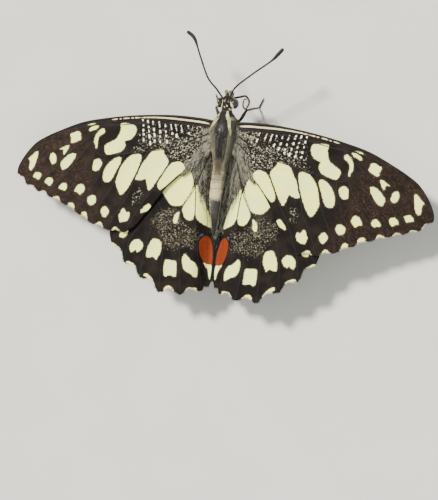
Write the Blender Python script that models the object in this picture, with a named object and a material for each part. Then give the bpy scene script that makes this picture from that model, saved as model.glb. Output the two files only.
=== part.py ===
"""A chequered swallowtail butterfly at life size, wings spread, standing on its six feet.

Lengths are in millimetres, in a frame whose origin lies midway between the fore wing hinges,
with +X to the insect's right, +Y to its head and +Z up. The last step moves the whole insect so
that the middle of its footprint is at the world's origin and its feet are at height zero.
"""

import math

import bmesh
import bpy
from mathutils import Vector, geometry

MM = 0.001
GAP = 0.3  # left between two pieces that meet
FLOOR = -8.6  # the ground under the feet, below the wing hinges

# Wings. Their outlines are drawn for the right side, seen from above.
HINGE_X = 3.76
WING_THICKNESS = 0.5
ARCH_RISE = 0.0767  # the wings rise from the hinge by this slope
ARCH_FALL = 0.002667  # and bend down again with the square of the distance
FORE_LEVEL = 0.55  # height of the middle of each sheet over the arch
HIND_LEVEL = -0.5
ANAL_FOLD_DEPTH = 1.9  # the hind wing dips beside the abdomen
ANAL_FOLD_AT = 0.8
ANAL_FOLD_WIDTH = 1.9
LEFT_FORE_SWEEP = math.radians(-1.68)  # the left wings are held a little otherwise
LEFT_HIND_SWEEP = math.radians(0.81)
VEIN_HALF_WIDTH = 0.36
VEIN_RISE = 0.12
VEIN_STEP = 2.4
EDGE_STEP = 1.8
SCALLOP_PARTS = 4

FORE_SCALLOP = 0.55
FORE_COSTA = [(2.4, 0.0), (5, 0.42), (10, 0.37), (15, -0.11), (20, -0.83), (25, -1.85),
              (30, -3.2), (35, -5.5), (38, -7.1), (40.2, -8.7), (42.2, -11.3), (43.4, -13.8)]
FORE_VEIN_ENDS = [(43.5, -15.2), (40.9, -17.3), (38.2, -18.3), (35.2, -19.2), (31.8, -20.3),
                  (28.3, -21.8), (25.2, -23.4), (21.4, -24.3), (17.6, -24.3)]
FORE_INNER = [(17.6, -24.3), (15.7, -22.8), (14.2, -20.5), (12.5, -18), (10.2, -14.3),
              (6.3, -9.6), (2.2, -4.9)]
FORE_VEINS = {
    "radius": [(3.2, -0.9), (14, -1.6), (23, -3.2), (30, -5), (36, -7.8), (41, -12.5),
               (43.5, -15.2)],
    "cubitus_and_cell_end": [(3.2, -2.5), (10, -6.3), (15, -7.6), (20, -8.8), (24, -9.7),
                             (26, -8.8), (26.2, -7.2), (25.2, -5.1), (23, -3.2)],
    "anal": [(3.2, -3.8), (7, -7), (10.3, -9.8), (14.2, -17), (17.6, -24.3)],
    "second_cubital": [(15, -7.6), (16.2, -10.5), (17, -13.5), (21.4, -24.3)],
    "first_cubital": [(20, -8.8), (20.8, -11), (21.2, -13.5), (25.2, -23.4)],
    "third_medial": [(24, -9.7), (24.9, -13), (28.3, -21.8)],
    "second_medial": [(26, -8.8), (28.2, -13.8), (31.8, -20.3)],
    "first_medial": [(26.2, -7.2), (30.2, -12.3), (35.2, -19.2)],
    "fourth_radial": [(25.2, -5.1), (32, -9), (36.6, -13), (40.9, -17.3)],
    "fifth_radial": [(32, -9), (34.6, -12.8), (38.2, -18.3)],
}

HIND_SCALLOP = 0.95
HIND_COSTA = [(2.2, -3.6), (5, -5.4), (9, -7.9), (14, -11.6), (18.7, -16.6), (21.5, -21.3),
              (22.1, -24)]
HIND_VEIN_ENDS = [(21.6, -26), (18.3, -29.8), (14.8, -32.3), (10.5, -35), (6, -35),
                  (2.2, -34), (1.1, -32.7)]
HIND_INNER = [(1.1, -32.7), (0.9, -31), (0.7, -28), (0.8, -23.5), (1.35, -20), (1.9, -15),
              (2.1, -10), (1.6, -7)]
HIND_VEINS = {
    "subcosta": [(4.4, -6.2), (9, -9.6), (14, -13.6), (19, -18.6), (21.6, -23.2)],
    "radial_sector": [(3.4, -6), (8, -10.8), (12.5, -15.5), (17, -20.6), (21.6, -26)],
    "cubitus_and_cell_end": [(3, -7), (4.9, -13), (6.3, -15.7), (8, -18.6), (9.6, -19.3),
                             (11.4, -18.5), (12.3, -17), (12.5, -15.5)],
    "first_medial": [(12.3, -17), (15, -22.8), (18.3, -29.8)],
    "second_medial": [(11.4, -18.5), (13.1, -25), (14.8, -32.3)],
    "third_medial": [(9.6, -19.3), (10.2, -27), (10.5, -35)],
    "first_cubital": [(8, -18.6), (7.2, -26), (6, -35)],
    "second_cubital": [(4.9, -13), (4.6, -19), (3.6, -26.5), (2.2, -34)],
    "anal": [(2.9, -9), (2.8, -15), (2.2, -20.5), (1.7, -26), (1.6, -31)],
}

# Trunk of the body.
THORAX_FRONT = 2.6
THORAX_REAR = -8.2
THORAX_HALF_WIDTH = 2.9
THORAX_TOP = 2.6
THORAX_BOTTOM = -3.2
THORAX_MIDDLE_Z = -0.2
ABDOMEN_FRONT = -6.6
ABDOMEN_TIP = -21.7
ABDOMEN_RADIUS = 1.62
ABDOMEN_SEGMENTS = 8
ABDOMEN_GROOVE = 0.07  # share of the radius lost between two segments
ABDOMEN_DROOP = 0.8
HEAD_CENTRE = (0.0, 4.05, -0.1)
HEAD_RADII = (1.45, 2.0, 1.5)
EYE_CENTRE = (1.52, 4.05, 0.05)
EYE_RADII = (0.88, 1.08, 1.22)
ROUND_SIDES = 22
EYE_SIDES = 16

# Limbs and feelers, each a course of points with a radius at each.
LIMB_SIDES = 8
JOINT_REACH = 0.5  # a limb's bend is cut back this far to both sides
FOOT_AXIS = FLOOR + 0.2  # a foot's tube lies lower than its radius, so that it rests on a flat
LEG_RADII = [0.55, 0.48, 0.4, 0.3, 0.28, 0.26]
LEGS = {
    "leg_fore": [(1.0, 0.2, -1.9), (2.1, 1.1, -3.1), (3.2, 3.2, -3.0), (3.9, 4.0, -6.4),
                 (4.3, 4.4, FOOT_AXIS), (5.0, 6.2, FOOT_AXIS)],
    "leg_mid": [(1.4, -2.2, -2.0), (2.9, -2.2, -3.3), (5.8, -1.4, -2.7), (8.2, -2.3, -6.6),
                (9.0, -2.7, FOOT_AXIS), (11.0, -3.4, FOOT_AXIS)],
    "leg_hind": [(1.3, -5.0, -1.9), (2.3, -6.3, -3.2), (5.0, -9.7, -2.7), (7.2, -15.0, -6.6),
                 (7.8, -16.4, FOOT_AXIS), (8.8, -18.8, FOOT_AXIS)],
}
FEELER_SHAFT = 0.26
FEELER_CLUB = 0.46
FEELER_STATIONS = 30
FEELER_LEFT = [(-0.5, 4.4, 0.8), (-2.2, 6.5, 1.6), (-4.2, 8.65, 1.95), (-6.2, 12.9, 2.35),
               (-7.6, 16.1, 2.75), (-9.2, 17.4, 3.2)]
FEELER_RIGHT = [(0.5, 4.4, 0.8), (1.75, 7.2, 1.75), (5.05, 10.1, 2.15), (8.5, 12.8, 2.55),
                (9.85, 14.2, 2.85), (10.95, 15.4, 3.2)]
PALP = [(0.42, 4.6, -1.0), (0.5, 5.9, -0.95), (0.5, 6.25, -0.2), (0.42, 6.3, 0.5)]
PALP_RADII = [0.42, 0.44, 0.38, 0.2]
PROBOSCIS = [(0.2, 4.6, -1.0), (0.55, 5.3, -2.1), (1.9, 5.7, -2.0), (3.2, 5.85, -1.4),
             (4.05, 4.7, -1.2), (3.4, 3.3, -1.45), (2.7, 4.1, -1.9)]
PROBOSCIS_RADII = [0.3, 0.27, 0.25]
TUBE_STEP = 0.8

# Each finish is a colour, a roughness and a metallic value.
WING_FINISH = ((0.045, 0.034, 0.026), 0.7, 0.0)
TRUNK_FINISH = ((0.11, 0.095, 0.07), 0.85, 0.0)
HEAD_FINISH = ((0.03, 0.025, 0.02), 0.8, 0.0)
EYE_FINISH = ((0.02, 0.012, 0.018), 0.2, 0.0)
LIMB_FINISH = ((0.02, 0.016, 0.013), 0.5, 0.0)
PALP_FINISH = ((0.6, 0.56, 0.4), 0.85, 0.0)


def clear_scene():
    for old in list(bpy.data.objects):
        bpy.data.objects.remove(old)


def finish(name, look):
    """A material of one colour with its roughness and metallic value."""
    colour, roughness, metallic = look
    material = bpy.data.materials.new(name)
    material.use_nodes = True
    shader = material.node_tree.nodes["Principled BSDF"]
    shader.inputs["Base Color"].default_value = (*colour, 1.0)
    shader.inputs["Roughness"].default_value = roughness
    shader.inputs["Metallic"].default_value = metallic
    return material


def solid(name, points, faces, look):
    """A node from points in millimetres and faces, with its faces turned outwards."""
    mesh = bpy.data.meshes.new(name)
    mesh.from_pydata([[MM * value for value in point] for point in points], [], faces)
    turner = bmesh.new()
    turner.from_mesh(mesh)
    bmesh.ops.recalc_face_normals(turner, faces=turner.faces)
    turner.to_mesh(mesh)
    turner.free()
    mesh.shade_smooth()
    mesh.set_sharp_from_angle(angle=math.radians(50))
    mesh.materials.append(finish(name, look))
    node = bpy.data.objects.new(name, mesh)
    bpy.context.collection.objects.link(node)
    return node


def smooth_course(points, step):
    """Points about a step apart on a smooth curve that passes through every given point."""
    knots = [Vector(point) for point in points]
    course = []
    for index in range(len(knots) - 1):
        here, there = knots[index], knots[index + 1]
        before = knots[index - 1] if index else here * 2 - there
        after = knots[index + 2] if index + 2 < len(knots) else there * 2 - here
        parts = max(1, round((there - here).length / step))
        for part in range(parts):
            t = part / parts
            course.append(0.5 * (2 * here + (there - before) * t
                                 + (2 * before - 5 * here + 4 * there - after) * t ** 2
                                 + (3 * here - before - 3 * there + after) * t ** 3))
    return course + [knots[-1]]


def scalloped_margin(ends, depth):
    """The outer margin: each stretch between two vein ends is hollowed towards the body."""
    margin = []
    for start, stop in zip(ends[:-1], ends[1:]):
        start, stop = Vector(start), Vector(stop)
        along = stop - start
        inward = Vector((along.y, -along.x)).normalized()
        hollow = depth * min(1.0, along.length / 3.0)
        for part in range(SCALLOP_PARTS):
            t = part / SCALLOP_PARTS
            margin.append(start + along * t + inward * hollow * 4 * t * (1 - t))
    return margin


def distance_to(point, course):
    """The least distance in the plane from a point to a course of points."""
    least = math.inf
    for start, stop in zip(course[:-1], course[1:]):
        nearest, share = geometry.intersect_point_line(point, start, stop)
        share = min(1.0, max(0.0, share))
        least = min(least, (start.lerp(stop, share) - point).length)
    return least


def inside(point, outline):
    """Whether a point lies within a closed outline."""
    within = False
    for start, stop in zip(outline, outline[1:] + outline[:1]):
        if (start.y > point.y) != (stop.y > point.y):
            across = start.x + (stop.x - start.x) * (point.y - start.y) / (stop.y - start.y)
            within ^= point.x < across
    return within


def wing_net(costa, ends, inner, scallop, veins):
    """The wing as a flat net of triangles, with the rise of the vein ridges at each point."""
    outline = smooth_course(costa, EDGE_STEP) + scalloped_margin(ends, scallop)
    outline += smooth_course(inner, EDGE_STEP)[:-1] + [Vector(inner[-1])]
    courses = [smooth_course(course, VEIN_STEP) for course in veins.values()]
    points = list(outline)
    edges = [(index, (index + 1) % len(outline)) for index in range(len(outline))]
    for course in courses:
        first = len(points)
        points += course
        edges += [(first + index, first + index + 1) for index in range(len(course) - 1)]
    rim = outline + outline[:1]
    for course in courses:
        for index in range(1, len(course) - 1):
            along = (course[index + 1] - course[index - 1]).normalized()
            aside = Vector((-along.y, along.x)) * VEIN_HALF_WIDTH
            for foot in (course[index] + aside, course[index] - aside):
                others = [other for other in courses if other is not course]
                crowded = min(distance_to(foot, other) for other in others + [rim])
                if crowded > VEIN_HALF_WIDTH and inside(foot, outline):
                    points.append(foot)
    flat, _, triangles, *_ = geometry.delaunay_2d_cdt(points, edges, [], 1, 1e-4)
    rises = []
    for point in flat:
        nearest = min(distance_to(point, course) for course in courses)
        rises.append(VEIN_RISE * max(0.0, 1 - nearest / VEIN_HALF_WIDTH))
    return flat, triangles, rises


def arch(x):
    """Height of the wings' common surface at a distance from the body's middle."""
    return ARCH_RISE * abs(x) - ARCH_FALL * x * x


def fore_height(x):
    return arch(x) + FORE_LEVEL


def hind_height(x):
    fold = ANAL_FOLD_DEPTH * math.exp(-((abs(x) - ANAL_FOLD_AT) / ANAL_FOLD_WIDTH) ** 2)
    return arch(x) + HIND_LEVEL - fold


def wing(name, net, height, side, sweep):
    """A wing sheet of even thickness with its veins raised on both faces."""
    flat, triangles, rises = net
    upper, lower = [], []
    for point, rise in zip(flat, rises):
        reach = point.x - HINGE_X
        x = side * (reach * math.cos(sweep) + point.y * math.sin(sweep) + HINGE_X)
        y = point.y * math.cos(sweep) - reach * math.sin(sweep)
        half = WING_THICKNESS / 2 + rise
        upper.append((x, y, height(x) + half))
        lower.append((x, y, height(x) - half))
    count = len(flat)
    faces = [tuple(triangle) for triangle in triangles]
    faces += [tuple(count + index for index in reversed(triangle)) for triangle in triangles]
    sides = {}
    for triangle in triangles:
        for start, stop in zip(triangle, (*triangle[1:], triangle[0])):
            sides[start, stop] = True
    for start, stop in sides:
        if (stop, start) not in sides:
            faces.append((stop, start, count + start))
            faces.append((stop, count + start, count + stop))
    return solid(name, upper + lower, faces, WING_FINISH)


def close_rings(rings, sides):
    """Faces of a tube through rings of points, closed by a fan at each end."""
    faces = []
    for ring in range(len(rings) - 1):
        for index in range(sides):
            after = (index + 1) % sides
            low, high = ring * sides, (ring + 1) * sides
            faces.append((low + index, low + after, high + after, high + index))
    first, last = len(rings) * sides, len(rings) * sides + 1
    tail = (len(rings) - 1) * sides
    for index in range(sides):
        after = (index + 1) % sides
        faces.append((first, after, index))
        faces.append((last, tail + index, tail + after))
    return faces


def trunk(name, stations, front, rear, look):
    """A body along Y. A station is y, middle z, half width, half height up and down."""
    rings = []
    for y, middle, half_width, up, down in stations:
        ring = []
        for index in range(ROUND_SIDES):
            angle = 2 * math.pi * (index + 0.5) / ROUND_SIDES
            tall = up if math.sin(angle) > 0 else down
            ring.append((half_width * math.cos(angle), y, middle + tall * math.sin(angle)))
        rings.append(ring)
    points = [point for ring in rings for point in ring] + [front, rear]
    return solid(name, points, close_rings(rings, ROUND_SIDES), look)


def thorax():
    stations = []
    count = 13
    half_length = (THORAX_FRONT - THORAX_REAR) / 2
    for index in range(1, count):
        u = math.cos(math.pi * index / count)
        y = (THORAX_FRONT + THORAX_REAR) / 2 + half_length * u
        share = (1 - abs(u) ** 2.5) ** 0.5 * (1 + 0.08 * u)
        stations.append((y, THORAX_MIDDLE_Z, THORAX_HALF_WIDTH * share / 1.01,
                         (THORAX_TOP - THORAX_MIDDLE_Z) * share,
                         (THORAX_MIDDLE_Z - THORAX_BOTTOM) * share))
    front = (0, THORAX_FRONT, THORAX_MIDDLE_Z)
    rear = (0, THORAX_REAR, THORAX_MIDDLE_Z)
    return trunk("thorax", stations, front, rear, TRUNK_FINISH)


def abdomen():
    """Segments with a shallow groove between them, tapering to the tip and drooping."""
    stations = []
    length = ABDOMEN_FRONT - ABDOMEN_TIP
    parts = 3
    total = ABDOMEN_SEGMENTS * parts
    for index in range(total):
        along = (index + 0.5) / total
        radius = ABDOMEN_RADIUS * (1 - 0.3 * along) * (1 - along ** 5) ** 0.5
        radius *= 1 - ABDOMEN_GROOVE * (index % parts == 0)
        y = ABDOMEN_FRONT - length * along
        middle = THORAX_MIDDLE_Z - ABDOMEN_DROOP * along ** 1.5
        stations.append((y, middle, radius, radius, radius * 1.05))
    tip = (0, ABDOMEN_TIP, THORAX_MIDDLE_Z - ABDOMEN_DROOP)
    root = (0, ABDOMEN_FRONT + 0.1, THORAX_MIDDLE_Z)
    return trunk("abdomen", stations, root, tip, TRUNK_FINISH)


def ball(name, centre, radii, sides, look):
    """An ellipsoid with its poles fore and aft."""
    rings = []
    count = sides // 2
    for index in range(1, count):
        u = math.pi * index / count
        ring = []
        for step in range(sides):
            angle = 2 * math.pi * step / sides
            ring.append((centre[0] + radii[0] * math.sin(u) * math.cos(angle),
                         centre[1] + radii[1] * math.cos(u),
                         centre[2] + radii[2] * math.sin(u) * math.sin(angle)))
        rings.append(ring)
    poles = [(centre[0], centre[1] + way * radii[1], centre[2]) for way in (1, -1)]
    points = [point for ring in rings for point in ring] + poles
    return solid(name, points, close_rings(rings, sides), look)


def tube(name, course, radii, look):
    """A round limb along a course, kept above the floor so that a foot gets a flat."""
    course = [Vector(point) for point in course]
    aside = Vector((0, 0, 1))
    points = []
    for index, point in enumerate(course):
        before = course[max(0, index - 1)]
        after = course[min(len(course) - 1, index + 1)]
        along = (after - before).normalized()
        aside = (aside - along * aside.dot(along)).normalized()
        third = along.cross(aside)
        for side in range(LIMB_SIDES):
            angle = 2 * math.pi * (side + 0.5) / LIMB_SIDES
            turned = aside * math.cos(angle) + third * math.sin(angle)
            points.append(point + turned * radii[index])
    points += [course[0], course[-1]]
    points = [(p.x, p.y, max(p.z, FLOOR)) for p in points]
    rings = [None] * len(course)
    return solid(name, points, close_rings(rings, LIMB_SIDES), look)


def spread(values, count):
    """Values read at evenly spaced places along a short list."""
    read = []
    for index in range(count):
        place = index * (len(values) - 1) / (count - 1)
        low = min(int(place), len(values) - 2)
        read.append(values[low] + (values[low + 1] - values[low]) * (place - low))
    return read


def leg(name, corners, side):
    """A leg of straight parts with its bends cut back."""
    knots = [Vector((side * x, y, z)) for x, y, z in corners]
    course, radii = [knots[0]], [LEG_RADII[0]]
    for index in range(1, len(knots) - 1):
        for neighbour in (knots[index - 1], knots[index + 1]):
            course.append(knots[index] + (neighbour - knots[index]).normalized() * JOINT_REACH)
            radii.append(LEG_RADII[index])
    return tube(name, course + [knots[-1]], radii + [LEG_RADII[-1]], LIMB_FINISH)


def feeler(name, knots):
    """An antenna: an even shaft that swells into a club near its tip."""
    length = sum((Vector(b) - Vector(a)).length for a, b in zip(knots[:-1], knots[1:]))
    course = smooth_course(knots, length / FEELER_STATIONS)
    radii = []
    for index in range(len(course)):
        along = index / (len(course) - 1)
        swell = max(0.0, (along - 0.72) / 0.28)
        radii.append(FEELER_SHAFT + (FEELER_CLUB - FEELER_SHAFT) * math.sin(swell * 2.2))
    return tube(name, course, radii, LIMB_FINISH)


def largest_body(mesh):
    """Keeps only the closed surface with the most faces, as triangles."""
    work = bmesh.new()
    work.from_mesh(mesh)
    left = set(work.faces)
    bodies = []
    while left:
        queue = [left.pop()]
        body = set(queue)
        while queue:
            for edge in queue.pop().edges:
                for face in edge.link_faces:
                    if face in left:
                        left.remove(face)
                        body.add(face)
                        queue.append(face)
        bodies.append(body)
    kept = max(bodies, key=len)
    bmesh.ops.delete(work, geom=[f for f in work.faces if f not in kept], context="FACES")
    bmesh.ops.triangulate(work, faces=work.faces)
    work.to_mesh(mesh)
    work.free()


def grown(node):
    """A copy of a node that is larger by the gap all round, to cut its neighbours with."""
    mesh = node.data.copy()
    for vertex, normal in zip(mesh.vertices, [v.normal.copy() for v in node.data.vertices]):
        vertex.co += normal * GAP * MM
    cutter = bpy.data.objects.new(node.name + "_clearance", mesh)
    cutter.hide_render = True
    cutter.display_type = "WIRE"
    bpy.context.collection.objects.link(cutter)
    return cutter


def clear_of(nodes, neighbours):
    """Cuts nodes back to a face that lies a gap away from their neighbours."""
    cutters = [grown(neighbour) for neighbour in neighbours]
    for node in nodes:
        for cutter in cutters:
            cut = node.modifiers.new("clear of neighbour", "BOOLEAN")
            cut.operation = "DIFFERENCE"
            cut.solver = "EXACT"
            cut.object = cutter
        graph = bpy.context.evaluated_depsgraph_get()
        mesh = bpy.data.meshes.new_from_object(node.evaluated_get(graph))
        node.modifiers.clear()
        largest_body(mesh)
        node.data = mesh
    for cutter in cutters:
        bpy.data.objects.remove(cutter)


def stand_on_origin(nodes):
    """Moves every node so that the middle of the footprint is at the origin."""
    corners = [vertex.co for node in nodes for vertex in node.data.vertices]
    low = Vector(min(corner[axis] for corner in corners) for axis in range(3))
    high = Vector(max(corner[axis] for corner in corners) for axis in range(3))
    shift = Vector((-(low.x + high.x) / 2, -(low.y + high.y) / 2, -low.z))
    for node in nodes:
        for vertex in node.data.vertices:
            vertex.co += shift


def build():
    clear_scene()
    chest = thorax()
    belly = abdomen()
    head = ball("head", HEAD_CENTRE, HEAD_RADII, ROUND_SIDES, HEAD_FINISH)
    fore_net = wing_net(FORE_COSTA, FORE_VEIN_ENDS, FORE_INNER, FORE_SCALLOP, FORE_VEINS)
    hind_net = wing_net(HIND_COSTA, HIND_VEIN_ENDS, HIND_INNER, HIND_SCALLOP, HIND_VEINS)
    fore_wings, hind_wings, eyes, legs, palps = [], [], [], [], []
    for word, side, fore_sweep, hind_sweep in (("right", 1, 0.0, 0.0),
                                               ("left", -1, LEFT_FORE_SWEEP, LEFT_HIND_SWEEP)):
        fore_wings.append(wing("forewing_" + word, fore_net, fore_height, side, fore_sweep))
        hind_wings.append(wing("hindwing_" + word, hind_net, hind_height, side, hind_sweep))
        centre = (side * EYE_CENTRE[0], *EYE_CENTRE[1:])
        eyes.append(ball("eye_" + word, centre, EYE_RADII, EYE_SIDES, EYE_FINISH))
        for name, corners in LEGS.items():
            legs.append(leg(f"{name}_{word}", corners, side))
        course = smooth_course([(side * x, y, z) for x, y, z in PALP], TUBE_STEP / 2)
        palps.append(tube("palp_" + word, course, spread(PALP_RADII, len(course)), PALP_FINISH))
    feelers = [feeler("antenna_left", FEELER_LEFT), feeler("antenna_right", FEELER_RIGHT)]
    course = smooth_course(PROBOSCIS, TUBE_STEP / 2)
    tongue = tube("proboscis", course, spread(PROBOSCIS_RADII, len(course)), LIMB_FINISH)
    clear_of([*feelers, *palps, tongue], [head, *eyes])
    clear_of([head], [chest, *eyes])
    clear_of([belly, *fore_wings, *legs], [chest])
    clear_of(hind_wings, [chest, belly])
    stand_on_origin([chest, belly, head, tongue, *fore_wings, *hind_wings, *eyes, *legs,
                     *palps, *feelers])


build()
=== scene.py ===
"""A chequered swallowtail butterfly at life size: its looks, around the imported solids.

Shapes are worked out in millimetres in the insect's own frame: the origin lies midway between the
fore wing hinges, +X is the insect's right, +Y its head and +Z up. A wing's chart is the same frame
with the wing laid out to the right, so that both sides share their outlines and markings.
"""

import math

import bpy
import numpy as np
from bpy.props import FloatProperty, FloatVectorProperty, IntProperty, PointerProperty
from mathutils import Matrix, Vector


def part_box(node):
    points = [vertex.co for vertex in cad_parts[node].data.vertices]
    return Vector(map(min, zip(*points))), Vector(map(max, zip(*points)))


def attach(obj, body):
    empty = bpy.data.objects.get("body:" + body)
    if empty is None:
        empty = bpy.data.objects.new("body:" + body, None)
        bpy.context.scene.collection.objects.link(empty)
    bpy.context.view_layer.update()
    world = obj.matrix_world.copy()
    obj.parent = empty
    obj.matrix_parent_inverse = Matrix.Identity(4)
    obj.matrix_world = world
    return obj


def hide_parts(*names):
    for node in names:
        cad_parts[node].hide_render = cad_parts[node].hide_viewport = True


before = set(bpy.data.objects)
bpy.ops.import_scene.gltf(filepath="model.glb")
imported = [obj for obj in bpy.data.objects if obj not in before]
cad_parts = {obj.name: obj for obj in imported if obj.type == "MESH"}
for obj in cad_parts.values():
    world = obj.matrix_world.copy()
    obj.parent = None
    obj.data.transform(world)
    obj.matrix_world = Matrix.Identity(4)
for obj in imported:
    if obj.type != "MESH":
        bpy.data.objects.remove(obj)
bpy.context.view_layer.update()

bl_info = {
    "name": "Chequered swallowtail",
    "version": (1, 0, 0),
    "blender": (4, 5, 0),
    "location": "3D View > Sidebar > Swallowtail",
    "description": "Builds a life-size chequered swallowtail around its packed solids",
    "category": "Add Mesh",
}

MM = 0.001
UP = np.array([0.0, 0.0, 1.0])
THORAX_FRONT = 2.6  # the thorax reaches this far ahead of the origin
FLOOR = -8.6
CHEST_LOW, CHEST_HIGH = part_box("thorax")
ORIGIN = np.array([(CHEST_LOW.x + CHEST_HIGH.x) / 2, CHEST_HIGH.y - THORAX_FRONT * MM,
                   -FLOOR * MM])
EDGE_PARTS = 4  # points on a marking's edge for each one given
REACH = 1.2  # a marking's depth is measured this far outside it
STRAND_COLUMNS, STRAND_ROWS = 199, 60
WRINKLE = 0.12  # the width of a wrinkle in bare cuticle
BAKE_REAR, BAKE_LENGTH = -24, 31  # the stretch in y that the body's coat is unwrapped over

# Wings: the surface that both pairs follow, and their outlines on the chart.
HINGE_X = 3.76
ARCH_RISE = 0.0767
ARCH_FALL = 0.002667
ANAL_FOLD_DEPTH = 1.9
ANAL_FOLD_AT = 0.8
ANAL_FOLD_WIDTH = 1.9
CELL_TROUGH = 0.13  # the membrane sags this much between two veins
MAIN_VEIN = 0.2  # the width of a main vein that the radii in VEINS are given for
HOLLOW_PARTS = 16
HOLLOW_ROUNDNESS = 2.2
HOLLOW_LENGTH = 3.0  # a shorter hollow of the margin is shallower too
WINGS = {
    "fore": {
        "level": 0.38, "scallop": 0.36, "columns": 250, "rows": 150, "dense_root": 1.25,
        "sweep": {1: 0.0, -1: math.radians(-1.68)},
        "lead": [(2.4, 0.0), (5, 0.42), (10, 0.37), (15, -0.11), (20, -0.83), (25, -1.85),
                 (30, -3.2), (35, -5.5), (38, -7.1), (40.2, -8.7), (42.2, -11.3), (43.4, -13.8),
                 (43.5, -15.2)],
        "ends": [(43.5, -15.2), (40.9, -17.3), (38.2, -18.3), (35.2, -19.2), (31.8, -20.3),
                 (28.3, -21.8), (25.2, -23.4), (21.4, -24.3), (17.6, -24.3)],
        "trail": [(2.2, -4.9), (6.3, -9.6), (10.2, -14.3), (12.5, -18), (14.2, -20.5),
                  (15.7, -22.8), (17.6, -24.3)],
    },
    "hind": {
        "level": -0.32, "scallop": 0.95, "columns": 190, "rows": 170, "dense_root": 1.0,
        "sweep": {1: 0.0, -1: math.radians(0.81)},
        "lead": [(2.2, -3.6), (5, -5.4), (9, -7.9), (14, -11.6), (18.7, -16.6), (21.5, -21.3),
                 (22.1, -24), (21.6, -26)],
        "ends": [(21.6, -26), (18.3, -29.8), (14.8, -32.3), (10.5, -35), (6, -35), (2.2, -34),
                 (0.8, -32.9)],
        "trail": [(1.2, -7), (0.8, -10), (0.5, -15), (0.35, -20), (0.25, -23.5), (0.15, -28),
                  (0.25, -31), (0.8, -32.9)],
    },
}
# Each vein is its course and its radius at the root and at the tip.
VEINS = {
    "fore": {
        "costa": ([(2.4, 0.1), (5, 0.3), (10, 0.25), (15, -0.22), (20, -0.95), (25, -1.97),
                   (30, -3.33), (35, -5.62), (38, -7.25), (40.1, -8.85), (42, -11.4),
                   (43.2, -13.8), (43.3, -15)], 0.26, 0.1),
        "subcosta": ([(3, -0.95), (10, -0.93), (17, -1.1), (22, -1.75)], 0.13, 0.06),
        "radius": ([(3.2, -1.0), (14, -1.6), (23, -3.1), (26, -3.4), (28.6, -3.9),
                    (32.8, -5.2), (36.2, -7.3), (39.5, -9.6), (41.6, -11.7), (43.3, -15.0)],
                   0.15, 0.07),
        "first_radial": ([(16, -1.75), (22, -2.2), (26, -2.6), (29.5, -3.3)], 0.09, 0.06),
        "second_radial": ([(23, -2.9), (27, -3.05), (30, -3.85), (33.6, -5.0)], 0.09, 0.06),
        "cubitus_and_cell_end": ([(3.2, -2.5), (10, -6.1), (15, -7.45), (20, -8.55),
                                  (24, -9.4), (26, -9.1), (27.1, -7.7), (27.2, -6.2),
                                  (26.2, -4.6), (25.0, -3.5), (23.6, -3.1)], 0.15, 0.07),
        "anal": ([(3.2, -3.8), (7, -7), (10.3, -9.5), (11.5, -12), (12.7, -14.6),
                  (14.9, -18.2), (16.3, -21.3), (17.5, -24.1)], 0.13, 0.07),
        "second_cubital": ([(15, -7.45), (16.1, -9.8), (16.95, -12.8), (18.1, -16.8),
                            (20.2, -21), (21.4, -24.1)], 0.11, 0.07),
        "first_cubital": ([(20, -8.55), (20.35, -10.3), (21, -13.5), (22.2, -16.5),
                           (24.1, -20), (25.2, -23.2)], 0.11, 0.07),
        "third_medial": ([(24, -9.4), (24.3, -11.6), (25.5, -15), (27.1, -18.4),
                          (28.3, -21.6)], 0.1, 0.07),
        "second_medial": ([(26.4, -8.9), (27.6, -12), (30.3, -16.2), (31.8, -20.1)],
                          0.1, 0.07),
        "first_medial": ([(27.2, -6.8), (29.5, -10), (31.9, -13.8), (34.2, -16.6),
                          (35.2, -19)], 0.1, 0.07),
        "fourth_radial": ([(26.6, -5.1), (29.4, -7.3), (30.9, -8.5), (31.9, -7.95),
                           (33.5, -8.15), (35.3, -9.4), (37.1, -10.9), (38.8, -12.9),
                           (39.8, -14.8), (40.9, -17.1)], 0.1, 0.07),
        "fifth_radial": ([(30.7, -8.4), (32.3, -9.8), (34, -11.3), (35.2, -13.6),
                          (37.3, -15.9), (38.2, -18.1)], 0.09, 0.07),
    },
    "hind": {
        "costa": ([(2.6, -3.9), (5, -5.5), (9, -8), (14, -11.7), (18.6, -16.7), (21.3, -21.3),
                   (21.9, -24)], 0.17, 0.08),
        "subcosta": ([(4.4, -6.2), (9, -9.6), (14, -13.6), (19, -18.6), (21.6, -23.2)],
                     0.13, 0.07),
        "radial_sector": ([(3.4, -6), (8, -10.8), (12.5, -15.5), (17, -20.6), (21.5, -25.9)],
                          0.12, 0.07),
        "cubitus_and_cell_end": ([(3, -7), (4.95, -13), (5.75, -14.9), (6.9, -16.9),
                                  (7.6, -18.3), (9.6, -19.1), (11.4, -18.5), (12.3, -17),
                                  (12.5, -15.5)], 0.13, 0.07),
        "first_medial": ([(12.3, -17), (15.2, -21), (17.6, -25), (18.1, -27.5),
                          (18.3, -29.7)], 0.1, 0.07),
        "second_medial": ([(11.4, -18.5), (13.3, -22.5), (14.2, -26.5), (14.5, -29.5),
                           (14.8, -32.2)], 0.1, 0.07),
        "third_medial": ([(9.6, -19.1), (10.2, -23), (10.45, -28), (10.5, -34.9)], 0.1, 0.07),
        "first_cubital": ([(7.6, -18.3), (7.4, -21.5), (6.8, -28), (6.4, -32), (6, -34.9)],
                          0.1, 0.07),
        "second_cubital": ([(4.95, -13), (4.62, -17), (4.3, -20.5), (3.6, -24.5), (3.1, -28),
                            (2.6, -31), (2.2, -33.9)], 0.1, 0.07),
        "anal": ([(2.9, -9), (2.8, -15), (2.2, -20.5), (1.7, -26), (1.6, -31)], 0.1, 0.06),
    },
}

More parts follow.
